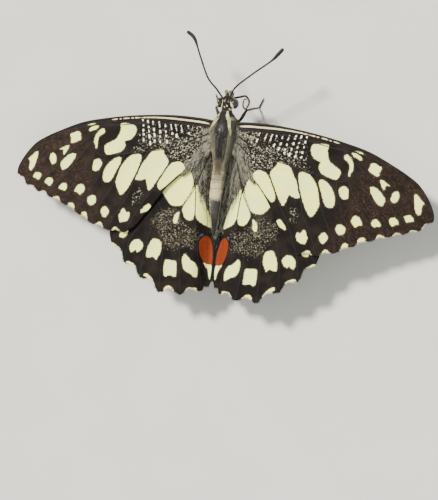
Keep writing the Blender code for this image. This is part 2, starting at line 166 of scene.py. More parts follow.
# Cream patches of the upper side, each a few points round its edge.
CREAM = {
    "fore": [
        [(18.2, -3.2), (18.8, -2.6), (20.5, -2.4), (21.6, -2.6), (21.5, -3.8), (22, -5.5),
         (22.8, -6.2), (24.3, -7.2), (24.5, -8), (23.9, -9.1), (22.5, -8.9), (20.8, -8.2),
         (20.1, -7), (20.3, -6), (19, -5.4), (18.3, -4.3)],
        [(12, -6.7), (13.4, -7), (14.5, -7.7), (15.2, -9), (16, -10.3), (16.5, -12),
         (16.9, -13.4), (15.6, -13.4), (14.8, -13), (14.4, -14), (13.8, -15.3), (12.8, -14),
         (11.8, -12), (10.7, -10), (10.6, -8.8), (11.6, -7.5)],
        [(7.2, -9.3), (8, -8.8), (9.3, -9), (10.2, -9.8), (11.2, -11.6), (12.1, -13.7),
         (11.6, -14.8), (10.9, -14.4), (9.5, -13), (8.5, -11.8), (7, -10.2)],
        [(16.5, -8.4), (17.3, -8.3), (18.6, -8.8), (19.8, -10.2), (20.6, -12), (21, -14),
         (20.8, -15.2), (19.7, -16.9), (18.7, -16), (17.7, -14), (16.8, -11.5), (16.3, -9.3)],
        [(20.6, -9.5), (21.5, -9.5), (22.6, -10.3), (23.5, -11.5), (24, -13), (23.8, -14.5),
         (22.8, -14.7), (22, -14), (21.2, -12), (20.6, -10.5)],
        [(24.6, -11.1), (25.2, -10.3), (26.2, -10.5), (26.5, -11.5), (26.4, -12.6),
         (25.7, -12.8), (25, -12.3)],
        [(24.9, -4.7), (25.3, -4), (26, -4.3), (26.6, -5.1), (26.9, -6), (26.9, -7),
         (26.6, -7.5), (26.4, -8.2), (26.1, -8), (26.2, -7), (26.1, -6), (25.7, -5.4)],
        [(26.4, -3.6), (27, -3.6), (27.9, -4), (28.5, -4.6), (28.1, -4.9), (27.4, -4.5),
         (26.8, -4.3)],
        [(27, -3.15), (27.9, -3.25), (28.9, -3.7), (27.9, -3.5)],
        [(30, -6.3), (30.3, -5.4), (31, -5.2), (31.8, -5.6), (32.5, -6), (32.1, -6.9),
         (32.1, -7.5), (31.6, -7.7), (30.7, -7.2), (30, -6.8)],
        [(32.4, -8.3), (33.2, -8.5), (34.4, -9.3), (33.6, -9.3), (33.4, -10.3), (33, -9.9),
         (32.7, -9.3)],
        [(30.7, -9.9), (31.6, -9.9), (32.6, -10.6), (33.7, -11.9), (33.6, -12.8),
         (33.1, -13.4), (32.2, -12.9), (31.4, -11.8), (30.8, -10.8)],
        [(35, -11), (35.4, -10.4), (36, -10.2), (36.4, -10.9), (36.3, -11.7), (35.7, -12.5),
         (34.9, -12.1)],
        [(39.3, -10.4), (40, -10.6), (40.6, -11.3), (41.3, -12), (40.9, -12.6), (40.9, -13.8),
         (40.5, -14.4), (39.9, -13.8), (39.5, -12.5)],
        [(37.8, -15), (38.3, -14.7), (39, -14.6), (39.6, -15.3), (39.6, -15.7), (38.9, -15.8),
         (38.5, -16.1), (38.1, -15.7)],
        [(35, -16), (35.3, -15.5), (36.1, -15.4), (36.7, -16), (36.8, -16.5), (36.1, -16.8),
         (35.7, -17.1), (35.2, -16.6)],
        [(31.6, -16.9), (31.9, -16.2), (32.6, -16.1), (33.3, -16.8), (33.4, -17.3),
         (32.8, -17.4), (32.2, -17.6), (31.8, -17.3)],
        [(27.6, -16.9), (27.9, -16.1), (28.4, -15.8), (29.2, -16.1), (29.7, -16.9),
         (29.8, -17.5), (29.1, -17.6), (28.6, -18), (28, -17.5)],
        [(24.8, -18.6), (25.1, -17.9), (25.8, -17.8), (26.5, -18.2), (26.7, -18.8),
         (26.5, -19.5), (25.9, -19.8), (25.4, -19.7), (24.9, -19.2)],
        [(21.7, -20.7), (22, -20.1), (22.6, -19.7), (23.2, -20.1), (23.4, -20.7),
         (23.1, -21.4), (22.6, -21.9), (22, -21.5)],
        [(17.1, -20.7), (17.4, -20.2), (17.9, -20.4), (18.1, -20.1), (18.5, -19.6),
         (18.9, -19.8), (19.1, -20.5), (19.4, -21), (19.3, -21.6), (19, -22.3), (18.5, -22.3),
         (17.8, -22.1), (17.3, -21.6)],
        [(12.9, -18.5), (13.4, -18), (13.9, -18.3), (14.4, -18.9), (14.9, -19.7), (14.7, -20),
         (14.1, -19.7), (13.4, -19.4)],
    ],
    "hind": [
        [(6.8, -9.6), (5.9, -11), (5.5, -12.5), (5.7, -14), (6.5, -15.6), (7.3, -17),
         (8.3, -17.4), (9.7, -17.3), (10.9, -16), (11.6, -14.6), (10.4, -12.6), (8.4, -10.4)],
        [(5.1, -13.3), (5.9, -14.8), (7.1, -17.2), (7.2, -18.2), (6.4, -19.8), (5.2, -20),
         (4.7, -19), (4.8, -16)],
        [(4.8, -12.8), (3.5, -15), (2.3, -18), (1.3, -21), (3.4, -20.3), (4.4, -18.9),
         (4.6, -16)],
        [(7.8, -18.7), (8.2, -18.7), (8.6, -19.2), (8.9, -20), (8.8, -20.8), (8.5, -21),
         (8.1, -20.7), (7.9, -19.8)],
        [(14.7, -26), (15.2, -25.2), (16, -24.9), (16.8, -25.2), (17.4, -26), (17.5, -26.8),
         (17.2, -27.5), (16.8, -27.5), (16.2, -27), (15.9, -27.4), (15.5, -27.3), (15, -26.8)],
        [(10.9, -25.6), (11.2, -24.8), (11.8, -24.5), (12.6, -24.4), (13.1, -25),
         (13.6, -26), (13.8, -27.2), (13.8, -28.2), (13.2, -28.3), (12.5, -28.1), (12, -28.3),
         (11.7, -28.7), (11.4, -28), (10.9, -27)],
        [(7.5, -28.6), (8.2, -28.5), (9.5, -28.4), (9.9, -29), (9.9, -30.5), (9.8, -31.4),
         (9.4, -31.8), (8.9, -31.5), (8.2, -31.5), (7.5, -31.7), (7.2, -31.3), (7.3, -30)],
        [(5.8, -26.9), (6.2, -27.5), (6.2, -28.6), (5.9, -29.7), (5.4, -30.3), (4.4, -30.7),
         (3.4, -31.4), (3.1, -30.7), (3.2, -29.5), (3.7, -28.6), (4.6, -28), (5.3, -27.3)],
        [(0.5, -29), (1.1, -28.4), (1.9, -28.2), (2.2, -28.4), (1.8, -29), (1.2, -30),
         (1, -31), (0.7, -31.4)],
        [(12.9, -13.6), (14.2, -13.9), (15.2, -15.2), (16.2, -17), (15.6, -18.2),
         (14.4, -17.4), (13.2, -15.4)],
        [(16.6, -17.4), (17.6, -17.8), (18.3, -19.2), (18.2, -20.6), (17.2, -20)],
        [(18.2, -23.2), (19, -22.6), (19.8, -23.4), (19.9, -24.6), (19, -24.8), (18.4, -24.2)],
    ],
}
# Pale crescents where the outer margin is hollowed.
LUNULES = {
    "fore": [
        [(41.5, -16.8), (42, -16.2), (42.8, -16), (42.4, -16.6), (41.8, -17)],
        [(39.2, -18), (39.6, -17.6), (40.3, -17.5), (39.9, -18)],
        [(36.1, -18.8), (36.5, -18.3), (37.1, -18.2), (37.4, -18.5), (36.8, -18.8)],
        [(32.9, -19.6), (33.3, -19), (34.1, -19.1), (34.4, -19.4), (33.6, -19.7)],
        [(29.4, -20.9), (29.5, -20.2), (30.3, -19.9), (30.9, -20.3), (30.1, -20.7)],
        [(26.3, -22.6), (26.4, -21.8), (26.9, -21.3), (27.6, -21.7), (27, -22.2)],
        [(22.7, -23.9), (22.9, -23.2), (23.5, -23), (24, -23.6), (23.3, -23.8)],
        [(19, -24.3), (19.4, -23.7), (20, -23.6), (20.4, -24.2), (19.7, -24.1)],
    ],
    "hind": [
        [(19.5, -28.5), (19.6, -27.6), (20.3, -26.6), (21.2, -26.1), (21.7, -26.3),
         (20.8, -27), (20.1, -27.8), (19.7, -28.6)],
        [(16.1, -31), (16.1, -30.2), (16.8, -29.7), (17.6, -29.5), (17.9, -29.8), (17, -30.1),
         (16.5, -30.6), (16.3, -31.1)],
        [(11.7, -34), (11.9, -33), (12.6, -32.1), (13.5, -31.6), (14, -31.9), (13.3, -32.4),
         (12.6, -33), (12.1, -33.8), (11.9, -34.1)],
        [(7.6, -34.3), (8, -33.8), (8.7, -33.6), (9.3, -34), (9.4, -34.4), (8.5, -34.5)],
        [(3, -33.9), (3.2, -33.5), (4.5, -33.7), (4.9, -34.3), (4.8, -34.6), (4, -34.4)],
    ],
}
EMBER = [(1.8, -23), (2.5, -22.9), (3.0, -23.5), (3.3, -24.3), (3.2, -25.6), (2.9, -26.9),
         (2.2, -28.2), (1.3, -28.6), (0.5, -28.3), (0.5, -26.9), (0.8, -25.2), (1.2, -23.8)]
VIOLET = [(2.6, -22.6), (3.0, -22.5), (3.3, -22.8), (3.4, -23.4), (3.1, -23.1), (2.8, -22.9)]
# Where pale scales are sprinkled on the black ground.
NET = {
    "fore": [(4.2, -1.1), (10, -1.2), (15, -1.5), (17.8, -1.9), (17.9, -6.2), (19.3, -8.1),
             (17, -8.2), (15, -7.4), (12, -6.4), (10.6, -8.3), (8.8, -8.6), (7, -9.3),
             (5.6, -11), (4.6, -12.6), (3.5, -9), (3.2, -4)],
    "hind": [(3.7, -21.6), (5.6, -21.2), (7.4, -19.3), (8.2, -17.7), (10.5, -18), (13, -19.2),
             (13.4, -21.4), (11.5, -23.4), (10.4, -25.8), (8.3, -26.5), (6, -25.8),
             (3.8, -25.4)],
}
NET_PATCH = [(15.2, -15.4), (16.4, -15.3), (17.2, -17), (17, -18.8), (15.8, -18.6), (15, -17)]
# Columns of dashes on the fore wing: x, the first dash's length, and the y where it ends.
DASH_COLUMNS = ((7.5, 0.6, -3.2), (8.95, 1.5, -3.2), (10.1, 1.4, -3.6), (11.1, 1.3, -4),
                (12.3, 0.7, -5), (13.6, 1.0, -5.4), (14.9, 0.5, -5.8), (16, 0.5, -6),
                (17.1, 0.2, -5.6))
COSTAL_STRIPE = [(3.3, -0.42), (5, -0.3), (10, -0.28), (13, -0.4), (16, -0.68), (20, -1.28),
                 (24, -2.05)]
# Under the wings the pale marks are larger, with rays from the root and a row of eyespots.
UNDER_RAYS = {
    "fore": [[(4, -1.2), (9, -1.5), (15, -2.2), (9, -2.1)],
             [(4, -2.1), (9, -2.7), (16, -3.6), (9, -3.5)],
             [(4.5, -3), (9, -4.2), (16, -5.1), (9.5, -5)],
             [(5, -4), (9, -5.6), (14, -6.3), (9, -6.5)],
             [(4, -5), (6.6, -7.6), (9, -9), (6, -8.2)]],
    "hind": [[(3.2, -6.5), (6, -8.4), (8.6, -11.2), (9.4, -14), (7, -13.2), (4.6, -10)],
             [(9.6, -9.4), (12.6, -11.6), (13.2, -13.6), (10.8, -12.2)],
             [(2.4, -9), (4, -11.8), (4.4, -13), (2.8, -12.4)]],
}
UNDER_EYESPOTS = [(5.6, -22.8), (8.4, -23.6), (11.6, -22.2), (14.6, -21.6), (17.2, -22.4)]


def linear(code):
    """An sRGB hex colour as the linear values that a shader takes."""
    parts = [int(code[place:place + 2], 16) / 255 for place in (1, 3, 5)]
    return tuple(p / 12.92 if p <= 0.04045 else ((p + 0.055) / 1.055) ** 2.4 for p in parts)


def tint_of(code):
    """An sRGB hex colour as a linear array, for tints that are worked out point by point."""
    return np.array(linear(code))


def opaque(colour):
    """A colour with an alpha of one. A linked colour stays as it is."""
    return colour if isinstance(colour, bpy.types.NodeSocket) else (*colour[:3], 1.0)


def in_row_frame(points):
    """Millimetres in the insect's frame to metres in the frame of the solids."""
    return ORIGIN + np.asarray(points, float) * MM


def unit(vectors):
    """Rows of vectors, each brought to a length of one."""
    return vectors / np.maximum(np.linalg.norm(vectors, axis=1, keepdims=True), 1e-9)


def curve_at(before, here, there, after, t):
    """The point of a smooth curve at a share of the way from one knot to the next."""
    return 0.5 * (2 * here + (there - before) * t
                  + (2 * before - 5 * here + 4 * there - after) * t ** 2
                  + (3 * here - before - 3 * there + after) * t ** 3)


def course_through(points, step):
    """Points about a step apart on a smooth curve through the given ones."""
    knots = np.array(points, float)
    knots = np.vstack([2 * knots[0] - knots[1], knots, 2 * knots[-1] - knots[-2]])
    course = []
    for before, here, there, after in zip(knots[:-3], knots[1:-2], knots[2:-1], knots[3:]):
        parts = max(1, round(float(np.linalg.norm(there - here)) / step))
        course.append(curve_at(before, here, there, after, (np.arange(parts) / parts)[:, None]))
    return np.vstack([*course, knots[-2]])


def round_edge(points):
    """A closed smooth edge through a few points."""
    knots = np.array(points, float)
    before, there, after = (np.roll(knots, turn, 0) for turn in (1, -1, -2))
    shares = np.arange(EDGE_PARTS) / EDGE_PARTS
    course = [curve_at(before, knots, there, after, t) for t in shares]
    return np.stack(course, 1).reshape(-1, 2)


def read_along(course, shares):
    """Points of a course at shares of its length."""
    steps = np.linalg.norm(np.diff(course, axis=0), axis=1)
    place = np.append(0, np.cumsum(steps)) / steps.sum()
    return np.stack([np.interp(shares, place, axis) for axis in course.T], -1)


def gap_to(points, course, far=3.0):
    """The least distance from each point to a course, up to a limit."""
    least = np.full(len(points), far)
    for start, stop in zip(course[:-1], course[1:]):
        low, high = np.minimum(start, stop) - far, np.maximum(start, stop) + far
        near = np.flatnonzero(((points > low) & (points < high)).all(1))
        along = stop - start
        share = np.clip((points[near] - start) @ along / max(along @ along, 1e-9), 0, 1)
        gap = np.linalg.norm(points[near] - start - share[:, None] * along, axis=1)
        least[near] = np.minimum(least[near], gap)
    return least


def depth_in(points, edge):
    """How deep each point lies inside a closed edge, below zero outside, down to -REACH."""
    depth = np.full(len(points), -REACH)
    box = ((points > edge.min(0) - REACH) & (points < edge.max(0) + REACH)).all(1)
    near = np.flatnonzero(box)
    if not len(near):
        return depth
    spots, ends = points[near][:, None], np.roll(edge, -1, 0)
    along = ends - edge
    length = np.maximum((along ** 2).sum(-1), 1e-12)
    share = np.clip(((spots - edge) * along).sum(-1) / length, 0, 1)
    gap = np.linalg.norm(spots - edge - share[..., None] * along, axis=-1).min(1)
    spans = (edge[:, 1] > spots[..., 1]) != (ends[:, 1] > spots[..., 1])
    rise = np.where(along[:, 1] == 0, 1e-9, along[:, 1])
    crossing = edge[:, 0] + (spots[..., 1] - edge[:, 1]) * along[:, 0] / rise
    within = (spans & (spots[..., 0] < crossing)).sum(1) % 2 == 1
    depth[near] = np.maximum(np.where(within, gap, -gap), -REACH)
    return depth


def deepest(points, edges):
    """The depth in whichever of several shapes holds a point best."""
    return np.max([depth_in(points, round_edge(edge)) for edge in edges], axis=0)


def scatter(seed, count, edge, fade=1.1):
    """Points strewn inside a closed edge, thinner within the last stretch before it."""
    edge, draw = np.array(edge, float), np.random.default_rng(seed)
    spots = draw.uniform(edge.min(0) - fade / 2, edge.max(0) + fade / 2, (count, 2))
    return spots[depth_in(spots, edge) > fade * (draw.random(count) - 0.5)]


def strands(draw, across, along):
    """A random number for each strand of hairs that cling together, one wide and one long."""
    column = (across + 2 + draw.normal(0, 0.4, len(across))).astype(int)
    shift = draw.normal(0, 0.3, len(along))
    row = (along + 1 + shift + draw.random(STRAND_COLUMNS)[column]).astype(int)
    return draw.random((STRAND_COLUMNS, STRAND_ROWS))[column, row]


def smooth_step(value, low, high):
    """Zero up to low and one from high on, with a smooth rise between."""
    share = np.clip((value - low) / (high - low), 0, 1)
    return share * share * (3 - 2 * share)


def blend_to(base, colour, share):
    """Rows of colours, each moved by its share towards another."""
    return base + (colour - base) * np.asarray(share)[:, None]


def select_only(thing):
    """Makes one object the only one selected and the active one."""
    bpy.ops.object.select_all(action="DESELECT")
    thing.select_set(True)
    bpy.context.view_layer.objects.active = thing


def new_piece(name, *materials):
    """Names the object that an operator has just added and gives it its materials."""
    thing = bpy.context.view_layer.objects.active
    thing.name = thing.data.name = name
    thing.data.materials.clear()
    for material in materials:
        thing.data.materials.append(material)
    return thing


def points_of(mesh):
    """The points of a mesh as rows."""
    spots = np.empty(len(mesh.vertices) * 3)
    mesh.vertices.foreach_get("co", spots)
    return spots.reshape(-1, 3)


def move_points(mesh, points):
    """Moves a mesh's points to places in the insect's frame and shades it smooth."""
    mesh.vertices.foreach_set("co", in_row_frame(points).ravel())
    mesh.update()
    mesh.shade_smooth()


def write_values(mesh, name, values, kind="FLOAT"):
    """Stores one number, vector or colour for each point of a mesh."""
    field = {"FLOAT": "value", "FLOAT_VECTOR": "vector", "FLOAT_COLOR": "color"}[kind]
    layer = mesh.attributes.new(name, kind, "POINT")
    layer.data.foreach_set(field, np.asarray(values, np.float32).ravel())


def join(name, things):
    """Joins several objects into the first of them."""
    select_only(things[0])
    for thing in things:
        thing.select_set(True)
    bpy.ops.object.join()
    things[0].name = things[0].data.name = name
    return things[0]


def round_limb(name, course, radii, material, sides=3):
    """A smooth round limb along a course in millimetres: a bevelled path made a mesh."""
    bpy.ops.object.select_all(action="DESELECT")
    bpy.ops.curve.primitive_nurbs_path_add(radius=MM)
    thing = bpy.context.view_layer.objects.active
    curve = thing.data
    curve.splines.clear()
    spline = curve.splines.new("POLY")
    spline.points.add(len(course) - 1)
    spots = in_row_frame(course)
    spline.points.foreach_set("co", np.c_[spots, np.ones(len(spots))].ravel())
    spline.points.foreach_set("radius", np.asarray(radii, float))
    curve.dimensions = "3D"
    curve.twist_mode = "MINIMUM"
    curve.bevel_depth = MM
    curve.bevel_resolution = sides
    curve.use_fill_caps = True
    select_only(thing)
    bpy.ops.object.convert(target="MESH")
    thing = new_piece(name, material)
    thing.location = thing.rotation_euler = (0, 0, 0)
    thing.data.shade_smooth()
    return thing


def add(tree, kind, values=(), out=0, **settings):
    """Adds a node with its settings and its inputs' values or links, and gives an output."""
    node = tree.nodes.new(kind)
    for name, value in settings.items():
        setattr(node, name, value)
    for key, value in dict(values).items():
        if isinstance(value, bpy.types.NodeSocket):
            tree.links.new(value, node.inputs[key])
        else:
            node.inputs[key].default_value = value
    return node.outputs[out]


def material_of(name, **values):
    """A new material with its shader's own values set, as the material and its tree."""
    material = bpy.data.materials.new(name)
    material.use_nodes = True
    shader = material.node_tree.nodes["Principled BSDF"]
    for key, value in values.items():
        shader.inputs[key.replace("_", " ").title().replace("Ior", "IOR")].default_value = value
    return material, material.node_tree


def passing(tree, value, low, high, first, second, strength=1.0, rise="LINEAR"):
    """A colour that passes from the first to the second while a value rises from low to high."""
    share = add(tree, "ShaderNodeMapRange",
                {"Value": value, "From Min": low, "From Max": high, "To Max": strength},
                interpolation_type=rise)
    return add(tree, "ShaderNodeMix", {0: share, 6: opaque(first), 7: opaque(second)}, out=2,
               data_type="RGBA")


def finished(material, colour, rough=None, bump=None):
    """Links a material's colour, roughness and relief to its shader, where it has them."""
    tree = material.node_tree
    for key, output in (("Base Color", colour), ("Roughness", rough), ("Normal", bump)):
        if output is not None:
            tree.links.new(output, tree.nodes["Principled BSDF"].inputs[key])
    return material


# Wings

def wing_height(kind, x):
    """Height of the middle of a wing's membrane at a distance from the body's middle."""
    height = ARCH_RISE * np.abs(x) - ARCH_FALL * x * x + WINGS[kind]["level"]
    if kind == "hind":
        place = (np.abs(x) - ANAL_FOLD_AT) / ANAL_FOLD_WIDTH
        height = height - ANAL_FOLD_DEPTH * np.exp(-place ** 2)
    return height


def from_chart(kind, side, chart, lift=0.0):
    """Chart points of a wing to points in the insect's frame."""
    sweep = WINGS[kind]["sweep"][side]
    reach = chart[:, 0] - HINGE_X
    x = side * (reach * math.cos(sweep) + chart[:, 1] * math.sin(sweep) + HINGE_X)
    y = chart[:, 1] * math.cos(sweep) - reach * math.sin(sweep)
    return np.stack([x, y, wing_height(kind, x) + lift], -1)


def scalloped(kind):
    """The outer margin: each stretch between two vein ends is hollowed towards the body."""
    ends, depth = np.array(WINGS[kind]["ends"]), WINGS[kind]["scallop"]
    t = (np.arange(HOLLOW_PARTS) / HOLLOW_PARTS)[:, None]
    hollow = np.sin(math.pi * t) ** HOLLOW_ROUNDNESS
    margin = []
    for start, stop in zip(ends[:-1], ends[1:]):
        along = stop - start
        length = np.linalg.norm(along)
        inward = np.array([along[1], -along[0]]) / length
        share = min(1.0, length / HOLLOW_LENGTH)
        margin.append(start + along * t + inward * depth * share * hollow)
    return np.vstack([*margin, ends[-1]])


def sag_between_veins(kind, chart):
    """How far the membrane lies below its veins, rounded at the vein and flat in the cell."""
    gap = np.min([gap_to(chart, course_through(course, 1.0))
                  for course, *_ in VEINS[kind].values()], axis=0)
    return -CELL_TROUGH * smooth_step(gap, -0.3, 1.8)


def wing_net(kind):
    """The chart as a net of columns from root to tip and rows from leading to trailing edge."""
    wing = WINGS[kind]
    across = np.linspace(0, 1, wing["columns"]) ** wing["dense_root"]
    down = np.linspace(0, 1, wing["rows"])
    lead = read_along(course_through(wing["lead"], 0.5), across)
    trail = read_along(course_through(wing["trail"], 0.5), across)
    tip = read_along(scalloped(kind), down)
    root = lead[0] + (trail[0] - lead[0]) * down[:, None]
    u, v = across[:, None, None], down[None, :, None]
    corners = ((1 - u) * (1 - v) * lead[0] + (1 - u) * v * trail[0]
               + u * (1 - v) * lead[-1] + u * v * trail[-1])
    return ((1 - v) * lead[:, None] + v * trail[:, None]
            + (1 - u) * root[None] + u * tip[None] - corners)


def dash_depth(chart, seed):
    """Slanting dashes and dots in columns behind the leading edge."""
    draw = np.random.default_rng(seed)
    depth = np.full(len(chart), -1.0)
    for x, length, low in DASH_COLUMNS:
        y = -1.25 - 0.15 * draw.random()
        while y > low:
            lean = 0.28 * length
            radius = draw.uniform(0.06, 0.12) + 0.08 * (length < 0.6)
            waist = draw.random()
            bead = (x - lean * waist, y - length * waist)
            for start, stop, half in (((x, y), (x - lean, y - length), radius),
                                      (bead, bead, draw.uniform(0.12, 0.21))):
                gap = gap_to(chart, np.array([start, stop]), far=1.2)
                depth = np.maximum(depth, half - gap)
            drop = draw.uniform(0.6, 0.95)
            y -= length + drop
            x -= lean + drop * draw.uniform(0.05, 0.3)
            length = draw.uniform(0.05, 0.45)
    return depth


def costal_stripe_depth(chart):
    """The cream stripe behind the leading edge, even near the root and broken towards the tip."""
    x = chart[:, 0]
    half = np.interp(x, [3, 4, 11, 15, 20, 24], [0.08, 0.19, 0.17, 0.12, 0.08, 0.03])
    wave = np.sin(x * 5.1 + 1.6 * np.sin(x * 2.3))
    breaks = 0.08 * smooth_step(x, 15, 18) * wave
    return half - breaks - gap_to(chart, course_through(COSTAL_STRIPE, 0.6), far=1.5)


def eyespot_depths(chart):
    """Orange and blue parts of the eyespots under the hind wing."""
    ember, violet = np.full((2, len(chart)), -1.0)
    for spot in UNDER_EYESPOTS:
        place = chart - spot
        ember = np.maximum(ember, 0.85 - np.linalg.norm(place * (0.9, 1.15), axis=1))
        moon, shade = (np.linalg.norm(place + (0, drop), axis=1) for drop in (1.15, 0.75))
        violet = np.maximum(violet, np.minimum(0.75 - moon, shade - 0.55))
    return ember, violet


def write_wing_marks(mesh, kind, chart, side):
    """Stores the depth in each kind of mark, in millimetres, at each point of a wing."""
    x, y = chart.T
    outside, none = np.full(len(chart), -1.0), np.zeros(len(chart))
    cream, lunules = deepest(chart, CREAM[kind]), deepest(chart, LUNULES[kind])
    under = np.maximum(np.maximum(cream + 0.4, lunules + 0.3),
                       deepest(chart, UNDER_RAYS[kind]) + 0.12)
    held = depth_in(chart, round_edge(NET[kind]))
    marks = {"cream": np.maximum(cream, lunules), "net": none, "dust": none, "dash": outside,
             "stripe": outside, "ember": outside, "violet": outside, "down": none, "apex": none,
             "cream_under": under, "ember_under": outside, "violet_under": outside}
    if kind == "fore":
        low = smooth_step(y, -2.9, -4.2)
        low *= np.interp(x, [8, 12, 14, 18], [1, 0.95, 0.85, 0.7])
        net = smooth_step(held, -0.4, 0.4) * np.maximum(
            np.maximum(low, 0.5), smooth_step(x, 8.6, 6.4))
        patch = smooth_step(depth_in(chart, round_edge(NET_PATCH)), -0.7, 0.7)
        marks["net"] = np.maximum(net, patch * 0.88)
        marks["dash"] = dash_depth(chart, seed=31 + side)
        marks["stripe"] = costal_stripe_depth(chart)
        marks["down"] = smooth_step(x + 0.3 * y, 4.2, 0.8)
        marks["apex"] = smooth_step(x - 0.35 * (y + 12), 12, 30) * 0.52
    else:
        marks["dust"] = smooth_step(held, -1.4, 0.9)
        marks["ember"] = depth_in(chart, round_edge(EMBER))
        marks["violet"] = depth_in(chart, round_edge(VIOLET))
        down = smooth_step(x, 5.6, 2.6) * smooth_step(y, -22, -15)
        # Painted shade: the down stops short of the inner edge, so the strip under the abdomen
        # keeps the black ground.
        marks["down"] = down * smooth_step(x, 0.6, 1.8)
        orange, marks["violet_under"] = eyespot_depths(chart)
        marks["ember_under"] = np.maximum(orange, marks["ember"])
        marks["cream_under"] = np.minimum(under, -marks["ember_under"] - 0.35)
    write_values(mesh, "chart", np.c_[chart, np.full(len(chart), side)], "FLOAT_VECTOR")
    for name, values in marks.items():
        write_values(mesh, name, values)


def wing_material(name, look, below):
    """Wing scales: flat chitin plates about 0.1 mm long, laid like tiles. They give a matt,
    slightly silky face, ragged edges between colours and a fine cross grain."""
    material, tree = material_of(name, roughness=0.62, sheen_weight=0.02, sheen_roughness=0.4,
                                 specular_ior_level=0.07)
    chart = add(tree, "ShaderNodeAttribute", attribute_name="chart", out="Vector")
    noise = {}
    for word, per_mm, detail, roughness, twist in (
            ("ragged", 4.2, 2.0, 0.6, 0.0), ("clouds", 0.35, 2.0, 0.5, 0.0),
            ("grain", 7.0, 2.0, 0.7, 0.0), ("uneven", 1.9, 1.0, 0.5, 0.0),
            ("net", look.fleck_scale, 1.0, 0.5, 0.9),
            ("dust", look.fleck_scale * 1.7, 1.0, 0.5, 0.6)):
        noise[word] = add(tree, "ShaderNodeTexNoise",
                          {"Vector": chart, "Scale": per_mm, "Detail": detail,
                           "Roughness": roughness, "Distortion": twist})
    # Wear near the tip and down at the root are drawn out along the wing, each its own way.
    for word, turn, stretch, twist in (("apex", -0.87, (1.1, 0.5, 1.0), 1.4),
                                       ("scratch", -0.6, (1.3, 0.7, 1.0), 0.8),
                                       ("down", -1.2, (0.8, 0.11, 1.0), 0.3)):
        swept = add(tree, "ShaderNodeMapping", {"Vector": chart, "Rotation": (0, 0, turn),
                                                "Scale": stretch}, vector_type="TEXTURE")
        noise[word] = add(tree, "ShaderNodeTexNoise", {"Vector": swept, "Scale": 1.3,
                                                       "Detail": 3.0, "Distortion": twist})
    wander = add(tree, "ShaderNodeMath", {0: noise["ragged"], 1: 0.5}, operation="SUBTRACT")
    # Where the scratch noise passes its middle value it draws a net of thin worn lines.
    crackle = add(tree, "ShaderNodeMath", {0: noise["scratch"], 1: 0.5}, operation="SUBTRACT")
    crackle = add(tree, "ShaderNodeMath", {0: crackle}, operation="ABSOLUTE")
    # Each mark's depth wanders with the ragged noise, and a sprinkling grows with its mask.
    suffix = "_under" if below else ""
    depth = {}
    for mark, field, source, share in (
            ("cream", "cream" + suffix, wander, 0.6), ("dash", "dash", wander, 0.4),
            ("stripe", "stripe", wander, 0.16), ("ember", "ember" + suffix, wander, 0.26),
            ("violet", "violet" + suffix, wander, 0.3), ("apex", "apex", noise["apex"], 1.0),
            ("scratch", "apex", crackle, -5.0), ("rubbed", "apex", noise["ragged"], 1.0),
            ("net", "net", noise["net"], 4.0), ("dust", "dust", noise["dust"], 4.0),
            ("down", "down", wander, 0.0)):
        held = add(tree, "ShaderNodeAttribute", attribute_name=field, out="Fac")
        depth[mark] = add(tree, "ShaderNodeMath", {0: source, 1: share, 2: held},
                          operation="MULTIPLY_ADD")
    shades = {
        word: passing(tree, source, low, high, first, second)
        for word, source, low, high, first, second in (
            ("net", noise["uneven"], 0.35, 0.62, linear("#605D4D"), linear("#B6B49C")),
            ("dust", noise["uneven"], 0.35, 0.62, linear("#5F5C48"), linear("#A09C80")),
            ("down", noise["down"], 0.47, 0.6, linear("#1B1814"), linear("#86836F")),
            ("cream", noise["clouds"], 0.4, 0.62, look.cream, look.cream_cool),
            ("ember", noise["ragged"], 0.35, 1.0, look.ember, linear("#43190A")))}
    # From the ground up: value, where the layer starts and is full, its strength and colour.
    layers = [
        (noise["clouds"], 0.4, 0.7, 1.0, look.ground_worn),
        (depth["apex"], 0.8, 1.3, 0.45, linear("#30221A")),
        (noise["grain"], 0.5, 0.8, 0.2, linear("#3B3029")),
        (depth["scratch"], 0.41, 0.52, 0.7, linear("#543D2C")),
        (depth["rubbed"], 1.27, 1.37, 0.5, linear("#7F6F59")),
        (depth["cream"], -0.3, -0.02, 0.4, linear("#5B4F42")),
        (depth["net"], 3.18, 3.45, look.fleck_strength, shades["net"]),
        (depth["dust"], 3.34, 3.56, look.fleck_strength, shades["dust"]),
        (depth["down"], 0.0, 1.0, 0.85, shades["down"]),
        (depth["stripe"], -0.04, 0.05, 1.0, linear("#CFC497")),
        (depth["cream"], -0.03, 0.05, 1.0, shades["cream"]),
        (depth["ember"], -0.04, 0.06, 1.0, shades["ember"]),
        (depth["violet"], -0.05, 0.1, 1.0, look.violet),
    ]
    if not below:
        layers.insert(7, (depth["dash"], -0.03, 0.06, 1.0, linear("#EDEBD0")))
    paint = look.ground
    for value, low, high, strength, colour in layers:
        paint = passing(tree, value, low, high, paint, colour, strength, "SMOOTHSTEP")
    # Rows of scales lie across the wing. Real rows are 0.1 mm apart; 0.2 mm shows in a picture.
    rows = add(tree, "ShaderNodeTexWave", {"Vector": chart, "Scale": 1.55, "Distortion": 1.5,
                                           "Detail": 1.0}, bands_direction="X")
    relief = add(tree, "ShaderNodeMath", {0: rows, 1: 0.25, 2: noise["grain"]},
                 operation="MULTIPLY_ADD")
    relief = add(tree, "ShaderNodeMath", {0: noise["apex"], 1: 0.6, 2: relief},
                 operation="MULTIPLY_ADD")
    bump = add(tree, "ShaderNodeBump", {"Strength": 0.35, "Distance": 0.12 * MM,
                                        "Height": relief})
    rough = add(tree, "ShaderNodeMapRange", {"Value": noise["grain"], "To Min": 0.5,
                                             "To Max": 0.78})
    return finished(material, paint, rough, bump)


